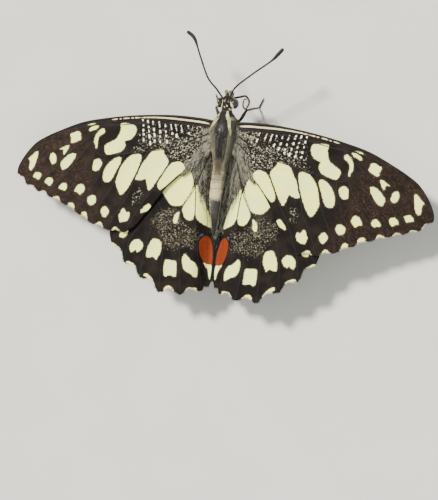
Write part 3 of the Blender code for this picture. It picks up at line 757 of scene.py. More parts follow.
def cuticle_material(name, dark, pale, roughness):
    """Bare insect cuticle: hard sclerotin with a waxy gloss. Fine wrinkles break its
    highlights, and it is a little paler where it is thin."""
    material, tree = material_of(name, roughness=roughness, specular_ior_level=0.3)
    place = add(tree, "ShaderNodeTexCoord", out="Object")
    wrinkles = add(tree, "ShaderNodeTexNoise",
                   {"Vector": place, "Scale": 1 / (WRINKLE * MM), "Detail": 3.0})
    patches = add(tree, "ShaderNodeTexNoise", {"Vector": place, "Scale": 700.0, "Detail": 2.0})
    rough = add(tree, "ShaderNodeMapRange", {"Value": wrinkles, "To Min": roughness - 0.1,
                                             "To Max": roughness + 0.15})
    bump = add(tree, "ShaderNodeBump", {"Strength": 0.4, "Distance": 0.04 * MM,
                                        "Height": wrinkles})
    return finished(material, passing(tree, patches, 0.4, 0.7, dark, pale), rough, bump)


def build_wing(kind, side, word, look, materials):
    """One wing: a grid shaped to the chart, given its thickness, with its veins let in."""
    columns, rows = WINGS[kind]["columns"], WINGS[kind]["rows"]
    bpy.ops.object.select_all(action="DESELECT")
    bpy.ops.mesh.primitive_grid_add(x_subdivisions=columns - 1, y_subdivisions=rows - 1, size=2)
    sheet = new_piece(f"{kind}wing_skin_{word}", *materials)
    spots = points_of(sheet.data)
    column = np.rint((side * spots[:, 0] + 1) / 2 * (columns - 1)).astype(int)
    row = np.rint((1 - spots[:, 1]) / 2 * (rows - 1)).astype(int)
    chart = wing_net(kind)[column, row]
    move_points(sheet.data, from_chart(kind, side, chart, sag_between_veins(kind, chart)))
    write_wing_marks(sheet.data, kind, chart, side)
    solid = sheet.modifiers.new("membrane", "SOLIDIFY")
    solid.thickness = look.thickness
    solid.offset = 0
    solid.material_offset = 1
    solid.use_even_offset = False
    select_only(sheet)
    bpy.ops.object.modifier_apply(modifier=solid.name)
    pieces = [sheet]
    for name, (knots, thick, thin) in VEINS[kind].items():
        course = course_through(knots, 0.45)
        radii = np.linspace(thick, thin, len(course)) * (look.vein_width / (MAIN_VEIN * MM))
        radii[-1] *= 0.4
        pieces.append(round_limb(name, from_chart(kind, side, course), radii, materials[2],
                                 sides=1))
    return join(f"{kind}wing_skin_{word}", pieces)


# Trunk of the body: y, middle across and up, half width, half height above and below.
TRUNK = np.array([
    (5.75, -0.22, -0.15, 0.05, 0.05, 0.05), (5.5, -0.22, -0.15, 0.5, 0.5, 0.5),
    (5.0, -0.22, -0.12, 0.9, 0.92, 0.95), (4.2, -0.22, -0.1, 1.12, 1.15, 1.2),
    (3.4, -0.2, -0.1, 1.1, 1.18, 1.15), (2.8, -0.15, -0.1, 1.0, 1.05, 1.05),
    (2.3, -0.1, -0.15, 1.15, 1.1, 1.2), (1.7, -0.05, -0.2, 1.6, 1.5, 1.7),
    (0.9, 0, -0.2, 2.05, 1.82, 2.2), (-0.3, 0, -0.2, 2.35, 2.0, 2.55),
    (-1.8, 0, -0.2, 2.5, 2.36, 2.75), (-3.4, 0, -0.2, 2.45, 2.6, 2.75),
    (-5.0, 0, -0.2, 2.25, 2.38, 2.5), (-6.3, 0, -0.15, 1.95, 1.9, 2.1),
    (-7.4, -0.1, -0.1, 1.6, 1.45, 1.6), (-8.4, -0.2, -0.05, 1.36, 1.2, 1.3),
    (-9.6, -0.27, 0, 1.26, 1.15, 1.25), (-12.5, -0.42, 0.02, 1.2, 1.15, 1.25),
    (-15, -0.4, 0, 1.16, 1.1, 1.2), (-17, -0.3, -0.1, 1.02, 1.0, 1.1),
    (-18.7, -0.22, -0.2, 0.8, 0.82, 0.9), (-20.1, -0.18, -0.32, 0.55, 0.6, 0.68),
    (-21.3, -0.12, -0.45, 0.35, 0.4, 0.45), (-22.3, -0.05, -0.55, 0.16, 0.2, 0.22),
    (-22.8, 0, -0.6, 0.04, 0.04, 0.04)])
SEGMENT_ENDS = (-9.6, -11.4, -13.3, -15.3, -17.0, -18.5, -19.9, -21.1)
SEGMENT_GROOVE = 0.09
# Swellings of the skin: y, angle from the right in degrees, reach along and round, height.
SWELLINGS = [(-1.2, 47, 1.5, 16, 0.3), (-1.4, 137, 1.6, 18, 0.42), (1.7, 62, 0.55, 18, 0.22),
             (1.7, 118, 0.55, 18, 0.22), (-6.1, 90, 0.7, 22, 0.16), (3.9, 90, 0.8, 26, 0.07),
             (-3.2, 90, 3.0, 5, -0.1), (0.95, 90, 0.3, 60, -0.12), (-5.3, 90, 0.25, 40, -0.12)]
BALD_SPOT = ((-0.3, 0.42), (-1.5, 0.95))  # the middle and the reach of the glossy back in x and y


def trunk_profile(y):
    """The trunk's measures at each y, smooth between the stations."""
    places, values = TRUNK[::-1, 0], TRUNK[::-1, 1:]
    slopes = np.gradient(values, places, axis=0)
    at = np.clip(np.searchsorted(places, y) - 1, 0, len(places) - 2)
    span = (places[at + 1] - places[at])[:, None]
    t = np.clip((y - places[at])[:, None] / span, 0, 1)
    return (values[at] * (1 + 2 * t) * (1 - t) ** 2 + slopes[at] * span * t * (1 - t) ** 2
            + values[at + 1] * t * t * (3 - 2 * t) + slopes[at + 1] * span * t * t * (t - 1))


def trunk_point(y, angle):
    """Points of the trunk's skin at y and at an angle in radians, 0 right and a quarter up."""
    across, up, half, above, below = trunk_profile(y).T
    groove = np.ones(len(y))
    for end in SEGMENT_ENDS:
        groove -= SEGMENT_GROOVE * np.exp(-((y - end) / 0.16) ** 2)
    swell = np.zeros(len(y))
    degrees = np.degrees(angle) % 360
    for place, turn, reach, width, height in SWELLINGS:
        swell += height * np.exp(-((y - place) / reach) ** 2 - ((degrees - turn) / width) ** 2)
    side, rise = np.cos(angle), np.sin(angle)
    tall = np.where(rise > 0, above, below)
    return np.stack([across + (half * groove + swell) * side, y,
                     up + (tall * groove + swell) * rise], -1)


def trunk_lie(y, angle):
    """Skin point, outward normal, backward direction and sideways direction."""
    back = unit(trunk_point(y - 0.05, angle) - trunk_point(y + 0.05, angle))
    around = unit(trunk_point(y, angle + 0.03) - trunk_point(y, angle - 0.03))
    return trunk_point(y, angle), unit(np.cross(back, around)), back, around


BLACK = tint_of("#14110F")
SLATE = tint_of("#4F4E4B")
BEIGE = tint_of("#E6DAAC")
PALE = tint_of("#E4DCA8")
TAN = tint_of("#B59A72")
STRAW = tint_of("#9A957D")
OLIVE = tint_of("#423E32")
BROWN = tint_of("#5B503C")
# Half width of the black back at each y.
DORSUM = ([-8.2, -6, -3.3, -1.2, 0.3, 1.2], [0.35, 0.6, 0.85, 1.5, 1.1, 0.8])
# Pale lines and dots on the trunk, seen from above, each with its half width and colour.
PALE_LINES = [
    ([(-0.95, 4.9), (-1.02, 3.6), (-1.18, 2.5)], 0.16, PALE),
    ([(0.62, 4.7), (0.7, 4.2)], 0.12, PALE), ([(0.12, 3.45), (0.2, 3.35)], 0.13, PALE),
    ([(0.3, 4.4), (0.35, 4.3)], 0.13, PALE), ([(-0.42, 4.6), (-0.45, 4.3)], 0.09, PALE),
    ([(-0.35, 3.2), (-0.3, 3.1)], 0.09, PALE), ([(0.62, 2.9), (0.7, 2.7)], 0.14, PALE),
    ([(-1.22, 2.2), (-1.35, 1.7)], 0.15, PALE), ([(-1.4, 1.6), (-1.6, 1.1)], 0.28, PALE),
    ([(0.42, 2.25), (0.55, 1.6)], 0.17, PALE), ([(0.58, 1.5), (0.8, 0.9)], 0.32, PALE),
    ([(-1.75, -5.6), (-1.6, -7.5), (-1.35, -11.6)], 0.12, TAN),
    ([(1.5, -6.6), (1.2, -8.5), (0.8, -11.4)], 0.14, TAN),
    ([(-1.45, -12), (-1.4, -15), (-1.2, -17.5), (-0.85, -19.5)], 0.12, BEIGE),
]
# The pale flaps of hair over the fore wing hinges, from the collar backwards.
TEGULAE = {"left": ([(-1.4, 0.85, 1.7), (-1.85, -0.3, 1.95), (-2.3, -1.3, 1.75)], (-0.42, -0.9)),
           "right": ([(1.1, 0.85, 1.85), (1.4, -0.5, 2.25), (1.75, -1.6, 2.2)], (0.16, -0.98))}


def trunk_colour(y, angle):
    """The markings of head, thorax and abdomen, shared by the skin and the coat."""
    point = trunk_point(y, angle)
    x, rise = point[:, 0], np.sin(angle)
    on_top = smooth_step(rise, 0.15, 0.55)
    dorsum = on_top * smooth_step(np.interp(y, *DORSUM) - np.abs(x + 0.15), -0.35, 0.1)
    dorsum *= smooth_step(y, -8.8, -6.6) * smooth_step(y, 1.5, 0.9)
    middle = smooth_step(np.abs(x + 0.25), 1.3, 0.3) * smooth_step(y, -13.6, -8.6)
    middle *= smooth_step(y, -6.6, -8.2)
    # Painted highlight and shade on the slate rear of the abdomen: lighter on its left and towards
    # the front, darker on its right side and towards the tip.
    painted_highlight = smooth_step(x + 0.4, 0.5, -0.5) * smooth_step(y, -19.5, -16)
    slate = smooth_step(y, -15.2, -15.7) * smooth_step(rise, -0.1, 0.25)
    head = smooth_step(y, 2.1, 2.5)
    colour = np.tile(OLIVE, (len(y), 1))
    for tint, share in (
            (BLACK, dorsum), (BEIGE, smooth_step(y, -7.2, -10.6)), (BROWN, middle * (rise > 0)),
            (SLATE * (0.62 + 0.85 * painted_highlight)[:, None], slate),
            (BLACK, 0.8 * smooth_step(y + 0.8 * x, -18.4, -20.0)), (BLACK, head),
            (BLACK, smooth_step(y, 1.0, 1.4) * (1 - head) * on_top),
            (PALE, smooth_step(-rise, 0.1, 0.5) * 0.85)):
        colour = blend_to(colour, tint, share)
    for course, width, tint in PALE_LINES:
        gap = gap_to(point[:, :2], np.array(course, float))
        colour = blend_to(colour, tint, smooth_step(width - gap, -0.07, 0.07) * on_top)
    rings = np.max([np.exp(-((y - end) / 0.12) ** 2) for end in SEGMENT_ENDS], axis=0)
    dotted = 0.45 + 0.35 * np.sin(angle * 24)
    return blend_to(colour, BROWN * 0.6, dotted * rings * (y < -10.5))


def skin_material(name):
    """Body cuticle under hair: dark sclerotin dusted with flat scales. It is glossy on the bare
    back of the thorax and dull where scales lie."""
    material, tree = material_of(name, roughness=0.6, specular_ior_level=0.3)
    place = add(tree, "ShaderNodeTexCoord", out="Object")
    tint = add(tree, "ShaderNodeAttribute", attribute_name="tint", out="Color")
    bare = add(tree, "ShaderNodeAttribute", attribute_name="bare", out="Fac")
    scales = add(tree, "ShaderNodeTexNoise", {"Vector": place, "Scale": 6500.0, "Detail": 2.0,
                                              "Roughness": 0.7})
    patches = add(tree, "ShaderNodeTexNoise", {"Vector": place, "Scale": 1600.0,
                                               "Detail": 2.0})
    shade, uneven = (
        add(tree, "ShaderNodeMapRange", {"Value": value, "From Min": 0.3, "From Max": 0.7,
                                         "To Min": least, "To Max": most})
        for value, least, most in ((scales, 0.62, 1.15), (patches, 0.8, 1.1)))
    shade = add(tree, "ShaderNodeMath", {0: shade, 1: uneven}, operation="MULTIPLY")
    colour = add(tree, "ShaderNodeVectorMath", {0: tint, 3: shade}, operation="SCALE")
    rough = add(tree, "ShaderNodeMapRange", {"Value": bare, "To Min": 0.72, "To Max": 0.18})
    bump = add(tree, "ShaderNodeBump", {"Strength": 0.5, "Distance": 0.05 * MM,
                                        "Height": scales})
    return finished(material, colour, rough, bump)


def hair_material(name):
    """Scale hairs: hollow, ribbed chitin threads, tapered and a little silky. Each keeps its
    own tint, darker at the root where light doesn't reach."""
    material, tree = material_of(name, roughness=0.6, sheen_weight=0.04, specular_ior_level=0.22)
    tint = add(tree, "ShaderNodeAttribute", attribute_name="tint", out="Color")
    place = add(tree, "ShaderNodeTexCoord", out="Object")
    ribs = add(tree, "ShaderNodeTexNoise", {"Vector": place, "Scale": 9000.0, "Detail": 2.0})
    shade = add(tree, "ShaderNodeMapRange", {"Value": ribs, "From Min": 0.3, "From Max": 0.7,
                                             "To Min": 0.8, "To Max": 1.12})
    colour = add(tree, "ShaderNodeVectorMath", {0: tint, 3: shade}, operation="SCALE")
    rough = add(tree, "ShaderNodeMapRange", {"Value": ribs, "To Min": 0.45, "To Max": 0.7})
    return finished(material, colour, rough)


# A tuft is two rings of three points, each at a share of its length and width, and a tip.
TUFT_SIDES = 3
TUFT_RINGS = ((0.0, 1.0), (0.5, 0.75))
TUFT_FACES = [(0, 1, 4, 3), (1, 2, 5, 4), (2, 0, 3, 5), (3, 4, 6), (4, 5, 6), (5, 3, 6),
              (2, 1, 0)]
TUFT_BEND = 2.2
TUFT_SUNK = 0.08  # the share of its length that its root lies below the skin
BAKE_PATCH = 0.003


def tufts(name, roots, lie, normals, lengths, widths, tints, places, material, rise):
    """A coat of thin bent tufts, each a tapered blade of three sides.

    Each grows from its root along its lie, lifts by a share of its length and bends back down.
    places are the roots' places on the unwrapped skin, from 0 to 1.
    """
    count, stride = len(roots), TUFT_SIDES * len(TUFT_RINGS) + 1
    lie = unit(lie)
    across = unit(np.cross(normals, lie))
    points = np.empty((count, stride, 3))
    corner_uv = np.empty((stride, 2))
    # Painted shade: each tuft's colour is darker towards its root, where light doesn't reach, and
    # brightest at its tip.
    shade = np.empty(stride)
    for ring, (along, width) in enumerate(TUFT_RINGS):
        lift = rise * np.sin(along * TUFT_BEND) - TUFT_SUNK
        middle = roots + (lie * along + normals * lift) * lengths[:, None]
        for side in range(TUFT_SIDES):
            turn = 2 * math.pi * side / TUFT_SIDES + math.pi / 2
            offset = across * math.cos(turn) + normals * math.sin(turn) * 0.6
            spot = ring * TUFT_SIDES + side
            points[:, spot] = middle + offset * (widths * width / 2)[:, None]
            corner_uv[spot] = (side / TUFT_SIDES, along)
            shade[spot] = 0.5 + 0.5 * along + 0.25 * (along > 0)
    points[:, -1] = roots + (lie + normals * rise * math.sin(TUFT_BEND)) * lengths[:, None]
    corner_uv[-1] = (0.5, 1.0)
    shade[-1] = 1.1
    base = (np.arange(count) * stride)[:, None]
    loops = (base + np.concatenate(TUFT_FACES)).ravel()
    sizes = np.tile([len(face) for face in TUFT_FACES], count)
    mesh = bpy.data.meshes.new(name)
    mesh.vertices.add(count * stride)
    mesh.vertices.foreach_set("co", in_row_frame(points.reshape(-1, 3)).ravel())
    mesh.loops.add(len(loops))
    mesh.loops.foreach_set("vertex_index", loops.astype(np.int32))
    mesh.polygons.add(len(sizes))
    mesh.polygons.foreach_set("loop_start", np.append(0, np.cumsum(sizes)[:-1]).astype(np.int32))
    mesh.polygons.foreach_set("loop_total", sizes.astype(np.int32))
    mesh.update(calc_edges=True)
    mesh.validate()
    colour = tints[:, None] * shade[:, None]
    write_values(mesh, "tint", np.dstack([colour, np.ones((count, stride))]), "FLOAT_COLOR")
    layer = mesh.uv_layers.new(name="OFBake")
    patch = (corner_uv - 0.5) * BAKE_PATCH + places[:, None]
    used = np.empty(len(mesh.loops), np.int32)
    mesh.loops.foreach_get("vertex_index", used)
    layer.data.foreach_set("uv", patch.reshape(-1, 2)[used].astype(np.float32).ravel())
    mesh.shade_smooth()
    mesh.materials.append(material)
    coat = bpy.data.objects.new(name, mesh)
    bpy.context.scene.collection.objects.link(coat)
    return coat


def trunk_tufts(name, seed, count, front, rear, turns, length, width, material,
                rise, spread=0.25, outward=0.0, mottle=0.35, pale_share=0.0):
    """Tufts over a stretch of the trunk between two angles in degrees."""
    draw = np.random.default_rng(seed)
    y = draw.uniform(rear, front, count)
    angle = np.radians(draw.uniform(*turns, count))
    degrees = np.degrees(angle) % 360
    point, normal, back, around = trunk_lie(y, angle)
    sideways = draw.normal(0, spread, count) - outward * np.cos(angle)
    tints = trunk_colour(y, angle) * draw.uniform(1 - mottle, 1 + mottle, count)[:, None]
    beside = smooth_step(np.abs(point[:, 0] + 0.2), -0.4, 0.9)
    strand = strands(draw, degrees / 3.5, 5 - y / 1.2)
    straw = draw.random(count) * 0.5 + strand * 0.5 < pale_share * beside * 1.15
    tints[straw] = tints[straw] * 0.2 + STRAW * 0.9
    places = np.stack([degrees / 360, (y - BAKE_REAR) / BAKE_LENGTH], -1)
    return tufts(name, point, back + around * sideways[:, None], normal,
                 length * draw.uniform(0.65, 1.25, count), width * draw.uniform(0.7, 1.2, count),
                 tints, places, material, rise)


def on_limb(draw, course, radii, count):
    """Random places on a limb: their number along it, its way there, out of it, and roots."""
    at = draw.integers(1, len(course) - 1, count)
    along = unit(course[at + 1] - course[at - 1])
    out = draw.normal(size=(count, 3))
    out = unit(out - along * (out * along).sum(1, keepdims=True))
    return at, along, out, course[at] + out * radii[at][:, None] * 0.9


def turn_of(out):
    """How far round the body's length each direction points, from 0 to 1."""
    return np.arctan2(out[:, 2], out[:, 0]) / (2 * math.pi) % 1


# Limbs repeat the routes of the solids.
LEG_ROUTES = {
    "leg_fore": [(1.0, 0.2, -1.9), (2.1, 1.1, -3.1), (3.2, 3.2, -3.0), (3.9, 4.0, -6.4),
                 (4.3, 4.4, FLOOR + 0.2), (5.0, 6.2, FLOOR + 0.2)],
    "leg_mid": [(1.4, -2.2, -2.0), (2.9, -2.2, -3.3), (5.8, -1.4, -2.7), (8.2, -2.3, -6.6),
                (9.0, -2.7, FLOOR + 0.2), (11.0, -3.4, FLOOR + 0.2)],
    "leg_hind": [(1.3, -5.0, -1.9), (2.3, -6.3, -3.2), (5.0, -9.7, -2.7), (7.2, -15.0, -6.6),
                 (7.8, -16.4, FLOOR + 0.2), (8.8, -18.8, FLOOR + 0.2)],
}
FEELERS = {
    "left": [(-0.5, 4.4, 0.8), (-2.2, 6.5, 1.6), (-4.2, 8.65, 1.95), (-6.2, 12.9, 2.35),
             (-7.6, 16.1, 2.75), (-9.2, 17.4, 3.2)],
    "right": [(0.3, 4.4, 0.8), (1.55, 7.0, 1.65), (4.9, 9.95, 2.15), (8.5, 12.75, 2.55),
              (9.85, 14.15, 2.85), (10.95, 15.4, 3.2)],
}
PALP_ROUTE = [(0.42, 4.6, -1.0), (0.5, 5.9, -0.95), (0.5, 6.25, -0.2), (0.42, 6.3, 0.4)]
TONGUE_ROUTE = [(0.2, 4.6, -1.0), (0.55, 5.3, -2.1), (1.9, 5.7, -2.0), (3.2, 5.85, -1.4),
                (4.05, 4.7, -1.2), (3.4, 3.3, -1.45), (2.65, 4.0, -1.9), (2.75, 5.2, -1.95),
                (3.25, 5.3, -2.0)]
EYES = {"left": (-1.66, 4.05, 0.05), "right": (1.4, 4.05, 0.05)}
EYE_RADII = (0.86, 1.05, 1.16)

SIDES = {"right": 1, "left": -1}
COLOUR = {"size": 3, "subtype": "COLOR", "min": 0, "max": 1}


class WingLook(bpy.types.PropertyGroup):
    """Sizes and colours of the wings."""

    thickness: FloatProperty(name="Membrane", description="Thickness of the scaled membrane",
                             default=0.11 * MM, min=0.02 * MM, unit="LENGTH")
    vein_width: FloatProperty(name="Vein width", description="Width of a main vein",
                              default=MAIN_VEIN * MM, min=0.05 * MM, unit="LENGTH")
    cream: FloatVectorProperty(name="Cream", description="Warm pale patches",
                               default=linear("#EEF086"), **COLOUR)
    cream_cool: FloatVectorProperty(name="Cool cream", description="Cooler pale patches",
                                    default=linear("#E0EA94"), **COLOUR)
    ground: FloatVectorProperty(name="Ground", description="Black ground of the wings",
                                default=linear("#0E0B09"), **COLOUR)
    ground_worn: FloatVectorProperty(name="Worn ground", description="Browner, worn ground",
                                     default=linear("#1D1612"), **COLOUR)
    fleck_scale: FloatProperty(name="Fleck scale", description="Flecks in a millimetre",
                               default=3.3, min=0.5)
    fleck_strength: FloatProperty(name="Fleck strength", description="How pale the flecks are",
                                  default=0.9, min=0, max=1, subtype="FACTOR")
    ember: FloatVectorProperty(name="Tail spot", description="Brick red spot near the tail",
                               default=linear("#782F13"), **COLOUR)
    violet: FloatVectorProperty(name="Violet", description="Crescents beside the red spots",
                                default=linear("#3A4160"), **COLOUR)


class BodyLook(bpy.types.PropertyGroup):
    """Sizes and colours of the body."""

    hair_length: FloatProperty(name="Hair length", description="Longest hair of the thorax",
                               default=1.3 * MM, min=0.1 * MM, unit="LENGTH")
    hair_width: FloatProperty(name="Hair width", description="Width of a tuft at its root",
                              default=0.085 * MM, min=0.01 * MM, unit="LENGTH")
    hair_count: IntProperty(name="Hair count", description="Tufts on the thorax",
                            default=9000, min=100)
    cuticle: FloatVectorProperty(name="Cuticle", description="Legs, antennae and tongue",
                                 default=linear("#100C0B"), **COLOUR)
    eye: FloatVectorProperty(name="Eye", description="Dark part of the compound eyes",
                             default=linear("#140E10"), **COLOUR)


class StageLook(bpy.types.PropertyGroup):
    """Floor and light."""

    floor: FloatVectorProperty(name="Floor", description="Colour of the floor",
                               default=linear("#C6C4BE"), **COLOUR)
    floor_size: FloatProperty(name="Floor size", description="Side of the floor", default=12.0,
                              min=0.2, unit="LENGTH")
    key: FloatProperty(name="Key light", description="Strength of the sun-like key",
                       default=8.2, min=0)
    fill: FloatProperty(name="Fill light", description="Strength of the light all round",
                        default=1.0, min=0)


def ride(piece, slot, *nodes):
    """Puts a finished piece on the body in place of its nodes. The slot is not used."""
    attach(piece, "root")
    if nodes:
        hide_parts(*nodes)


class BuildStage(bpy.types.Operator):
    """Floor, soft studio light and the camera at the photograph's angle."""

    bl_idname = "swallowtail.stage"
    bl_label = "Stage"

    TILT = math.radians(15.4)  # the camera looks from the insect's right by this much
    ROLL = math.radians(6.4)
    DISTANCE = 330
    TARGET = (1.56, -25.38, 0.0)
    PIXELS_PER_MM = 5.0
    PICTURE_HEIGHT = 500
    SENSOR = 36
    # Name, direction, strength beside the key's, width in degrees and colour.
    LAMPS = (("key", (-0.5, 0.42, 0.8), 1.0, 9, "#FFFAF2"),
             ("fill", (0.6, -0.5, 0.75), 0.14, 60, "#EAF1FF"))

    def execute(self, context):
        look = context.scene.swallowtail_stage
        bpy.ops.object.select_all(action="DESELECT")
        bpy.ops.mesh.primitive_grid_add(x_subdivisions=24, y_subdivisions=24,
                                        size=look.floor_size)
        material, tree = material_of("Painted board, matt", roughness=0.8)
        place = add(tree, "ShaderNodeTexCoord", out="Object")
        mottle = add(tree, "ShaderNodeTexNoise", {"Vector": place, "Scale": 60.0,
                                                  "Detail": 4.0})
        deeper = [part * 0.95 for part in look.floor]
        colour = passing(tree, mottle, 0.35, 0.65, look.floor, deeper)
        new_piece("floor", finished(material, colour))
        self.light(look)
        self.camera(context)
        return {"FINISHED"}

    def light(self, look):
        """Soft light from all round, a sun-like key and a weak fill opposite it."""
        world = bpy.data.worlds.new("Studio")
        world.use_nodes = True
        sky = world.node_tree.nodes["Background"]
        sky.inputs["Color"].default_value = opaque(linear("#E9EAEA"))
        sky.inputs["Strength"].default_value = look.fill
        bpy.context.scene.world = world
        for name, way, share, spread, colour in self.LAMPS:
            bpy.ops.object.light_add(type="SUN")
            lamp = bpy.context.view_layer.objects.active
            lamp.name = name
            lamp.data.energy = look.key * share
            lamp.data.angle = math.radians(spread)
            lamp.data.color = linear(colour)
            lamp.rotation_euler = Vector(way).to_track_quat("Z", "Y").to_euler()

    def camera(self, context):
        """The camera at the photograph's angle and scale."""
        toward = Vector((math.sin(self.TILT), 0, math.cos(self.TILT)))
        level = Vector((math.cos(self.TILT), 0, -math.sin(self.TILT)))
        ahead = Vector((0, 1, 0))
        right = level * math.cos(self.ROLL) + ahead * math.sin(self.ROLL)
        up = ahead * math.cos(self.ROLL) - level * math.sin(self.ROLL)
        spot = Vector(in_row_frame(Vector(self.TARGET) + toward * self.DISTANCE))
        turned = Matrix((right, up, toward)).transposed().to_4x4()
        bpy.ops.object.camera_add()
        camera = bpy.context.view_layer.objects.active
        camera.matrix_world = Matrix.Translation(spot) @ turned
        camera.data.sensor_width = self.SENSOR
        camera.data.lens = self.PIXELS_PER_MM * self.DISTANCE / self.PICTURE_HEIGHT * self.SENSOR
        camera.data.clip_start = 0.01
        context.scene.camera = camera


class BuildWings(bpy.types.Operator):
    """Four wing sheets with their markings and veins."""

    bl_idname = "swallowtail.wings"
    bl_label = "Wings"

    def execute(self, context):
        look = context.scene.swallowtail_wings
        upper = wing_material("Wing scales, upper side", look, below=False)
        under = wing_material("Wing scales, under side", look, below=True)
        veins = cuticle_material("Wing vein cuticle", linear("#0D0A09"), linear("#191411"), 0.7)
        for word, side in SIDES.items():
            for kind in WINGS:
                wing = build_wing(kind, side, word, look, (upper, under, veins))
                ride(wing, "wing_scales", f"{kind}wing_{word}")
        return {"FINISHED"}


class BuildTrunk(bpy.types.Operator):
    """One skin over head, thorax and abdomen."""

    bl_idname = "swallowtail.trunk"
    bl_label = "Head, thorax and abdomen"

    AROUND = 96
    ALONG = 330

    def execute(self, context):
        bpy.ops.object.select_all(action="DESELECT")
        bpy.ops.mesh.primitive_uv_sphere_add(segments=self.AROUND, ring_count=self.ALONG)
        skin = new_piece("trunk_skin", skin_material("Scaled body cuticle"))
        ball = points_of(skin.data)
        share = np.arccos(np.clip(ball[:, 2], -1, 1)) / math.pi
        front, rear = TRUNK[0, 0], TRUNK[-1, 0]
        y = front + (rear - front) * share
        angle = np.arctan2(ball[:, 1], ball[:, 0])
        points = trunk_point(y, angle)
        for pole in (share < 1e-6, share > 1 - 1e-6):
            measures = trunk_profile(y[pole])
            points[pole] = np.c_[measures[:, 0], y[pole], measures[:, 1]]
        move_points(skin.data, points)
        bpy.ops.object.mode_set(mode="EDIT")
        bpy.ops.mesh.select_all(action="SELECT")
        bpy.ops.mesh.normals_make_consistent(inside=False)
        bpy.ops.object.mode_set(mode="OBJECT")
        colour = trunk_colour(y, angle)
        write_values(skin.data, "tint", np.c_[colour, np.ones(len(y))], "FLOAT_COLOR")
        away = sum(((points[:, axis] - middle) / reach) ** 2
                   for axis, (middle, reach) in enumerate(BALD_SPOT))
        write_values(skin.data, "bare", np.exp(-away) * (np.sin(angle) > 0))
        ride(skin, "thorax_hair", "thorax", "head", "abdomen")
        return {"FINISHED"}


class BuildCoat(bpy.types.Operator):
    """Hair and scales over the body, in tufts that follow their lie."""

    bl_idname = "swallowtail.coat"
    bl_label = "Body coat"

    TEGULA_SCALES = 1800

    def execute(self, context):
        look = context.scene.swallowtail_body
        hair = hair_material("Scale hair")
        long, width = look.hair_length / MM, look.hair_width / MM
        count = look.hair_count
        shaggy = {"spread": 0.32, "mottle": 0.55}
        parts = (
            # Slot, name, seed, count, front, rear, angles, length, width and options.
            ("thorax_hair", "thorax_hair_right", 11, count, 1.3, -8.6, (-35, 58), long, width,
             dict(shaggy, outward=0.6, rise=0.33, pale_share=0.62)),
            ("thorax_hair", "thorax_hair_left", 12, count, 1.3, -8.6, (122, 215), long, width,
             dict(shaggy, outward=0.6, rise=0.33, pale_share=0.55)),
            ("thorax_hair", "thorax_down_top", 13, count // 2, -1.9, -10.2, (50, 130),
             long * 0.6, width * 0.8, dict(shaggy, outward=-0.1, rise=0.34, pale_share=0.25)),
            ("thorax_hair", "thorax_down_front", 18, count // 7, 1.5, -2.2, (52, 128),
             long * 0.35, width * 0.6, {"rise": 0.25, "mottle": 0.3, "pale_share": 0.04}),
            ("thorax_hair", "thorax_down_below", 14, count * 2 // 3, 1.8, -8.4, (210, 330),
             long * 0.7, width, {"rise": 0.35}),
            ("head_hair", "head_hair", 15, count * 2 // 3, 5.5, 0.9, (0, 360), long * 0.34,
             width * 0.65, {"rise": 0.4, "mottle": 0.4}),
            ("abdomen_scales", "abdomen_hair", 16, count // 3, -7.6, -11.6, (0, 360),
             long * 0.6, width * 0.8, {"rise": 0.2, "mottle": 0.45, "pale_share": 0.2}),
            ("abdomen_scales", "abdomen_scales_coat", 17, count, -10.8, -22.2, (0, 360),
             long * 0.28, width * 1.5, {"rise": 0.14, "spread": 0.12, "mottle": 0.22}),
        )
        for slot, *measures, options in parts:
            ride(trunk_tufts(*measures, hair, **options), slot)
        for word, (knots, way) in TEGULAE.items():
            ride(self.tegula(word, knots, way, hair), "thorax_hair")
        return {"FINISHED"}

    def tegula(self, word, knots, way, material):
        """A leaf of long pale scales that lies back over a wing hinge and ends in a point."""
        draw = np.random.default_rng(len(word))
        count = self.TEGULA_SCALES
        shares = draw.uniform(0, 1, count)
        roots = read_along(course_through(knots, 0.1), shares)
        beside = draw.uniform(-1, 1, count) * (0.42 - 0.24 * shares)
        roots[:, 0] += beside
        roots[:, 2] -= beside ** 2 * 0.5
        lie = np.array([*way, -0.08]) - np.c_[beside * 0.55, np.zeros((count, 2))]
        lie += draw.normal(0, 0.05, (count, 3))
        tints = PALE * draw.uniform(0.45, 1.1, count)[:, None]
        return tufts(f"tegula_hair_{word}", roots, lie, UP, draw.uniform(0.6, 1.15, count),
                     draw.uniform(0.05, 0.09, count), tints, np.stack([shares, beside + 0.5], -1),
                     material, rise=0.12)


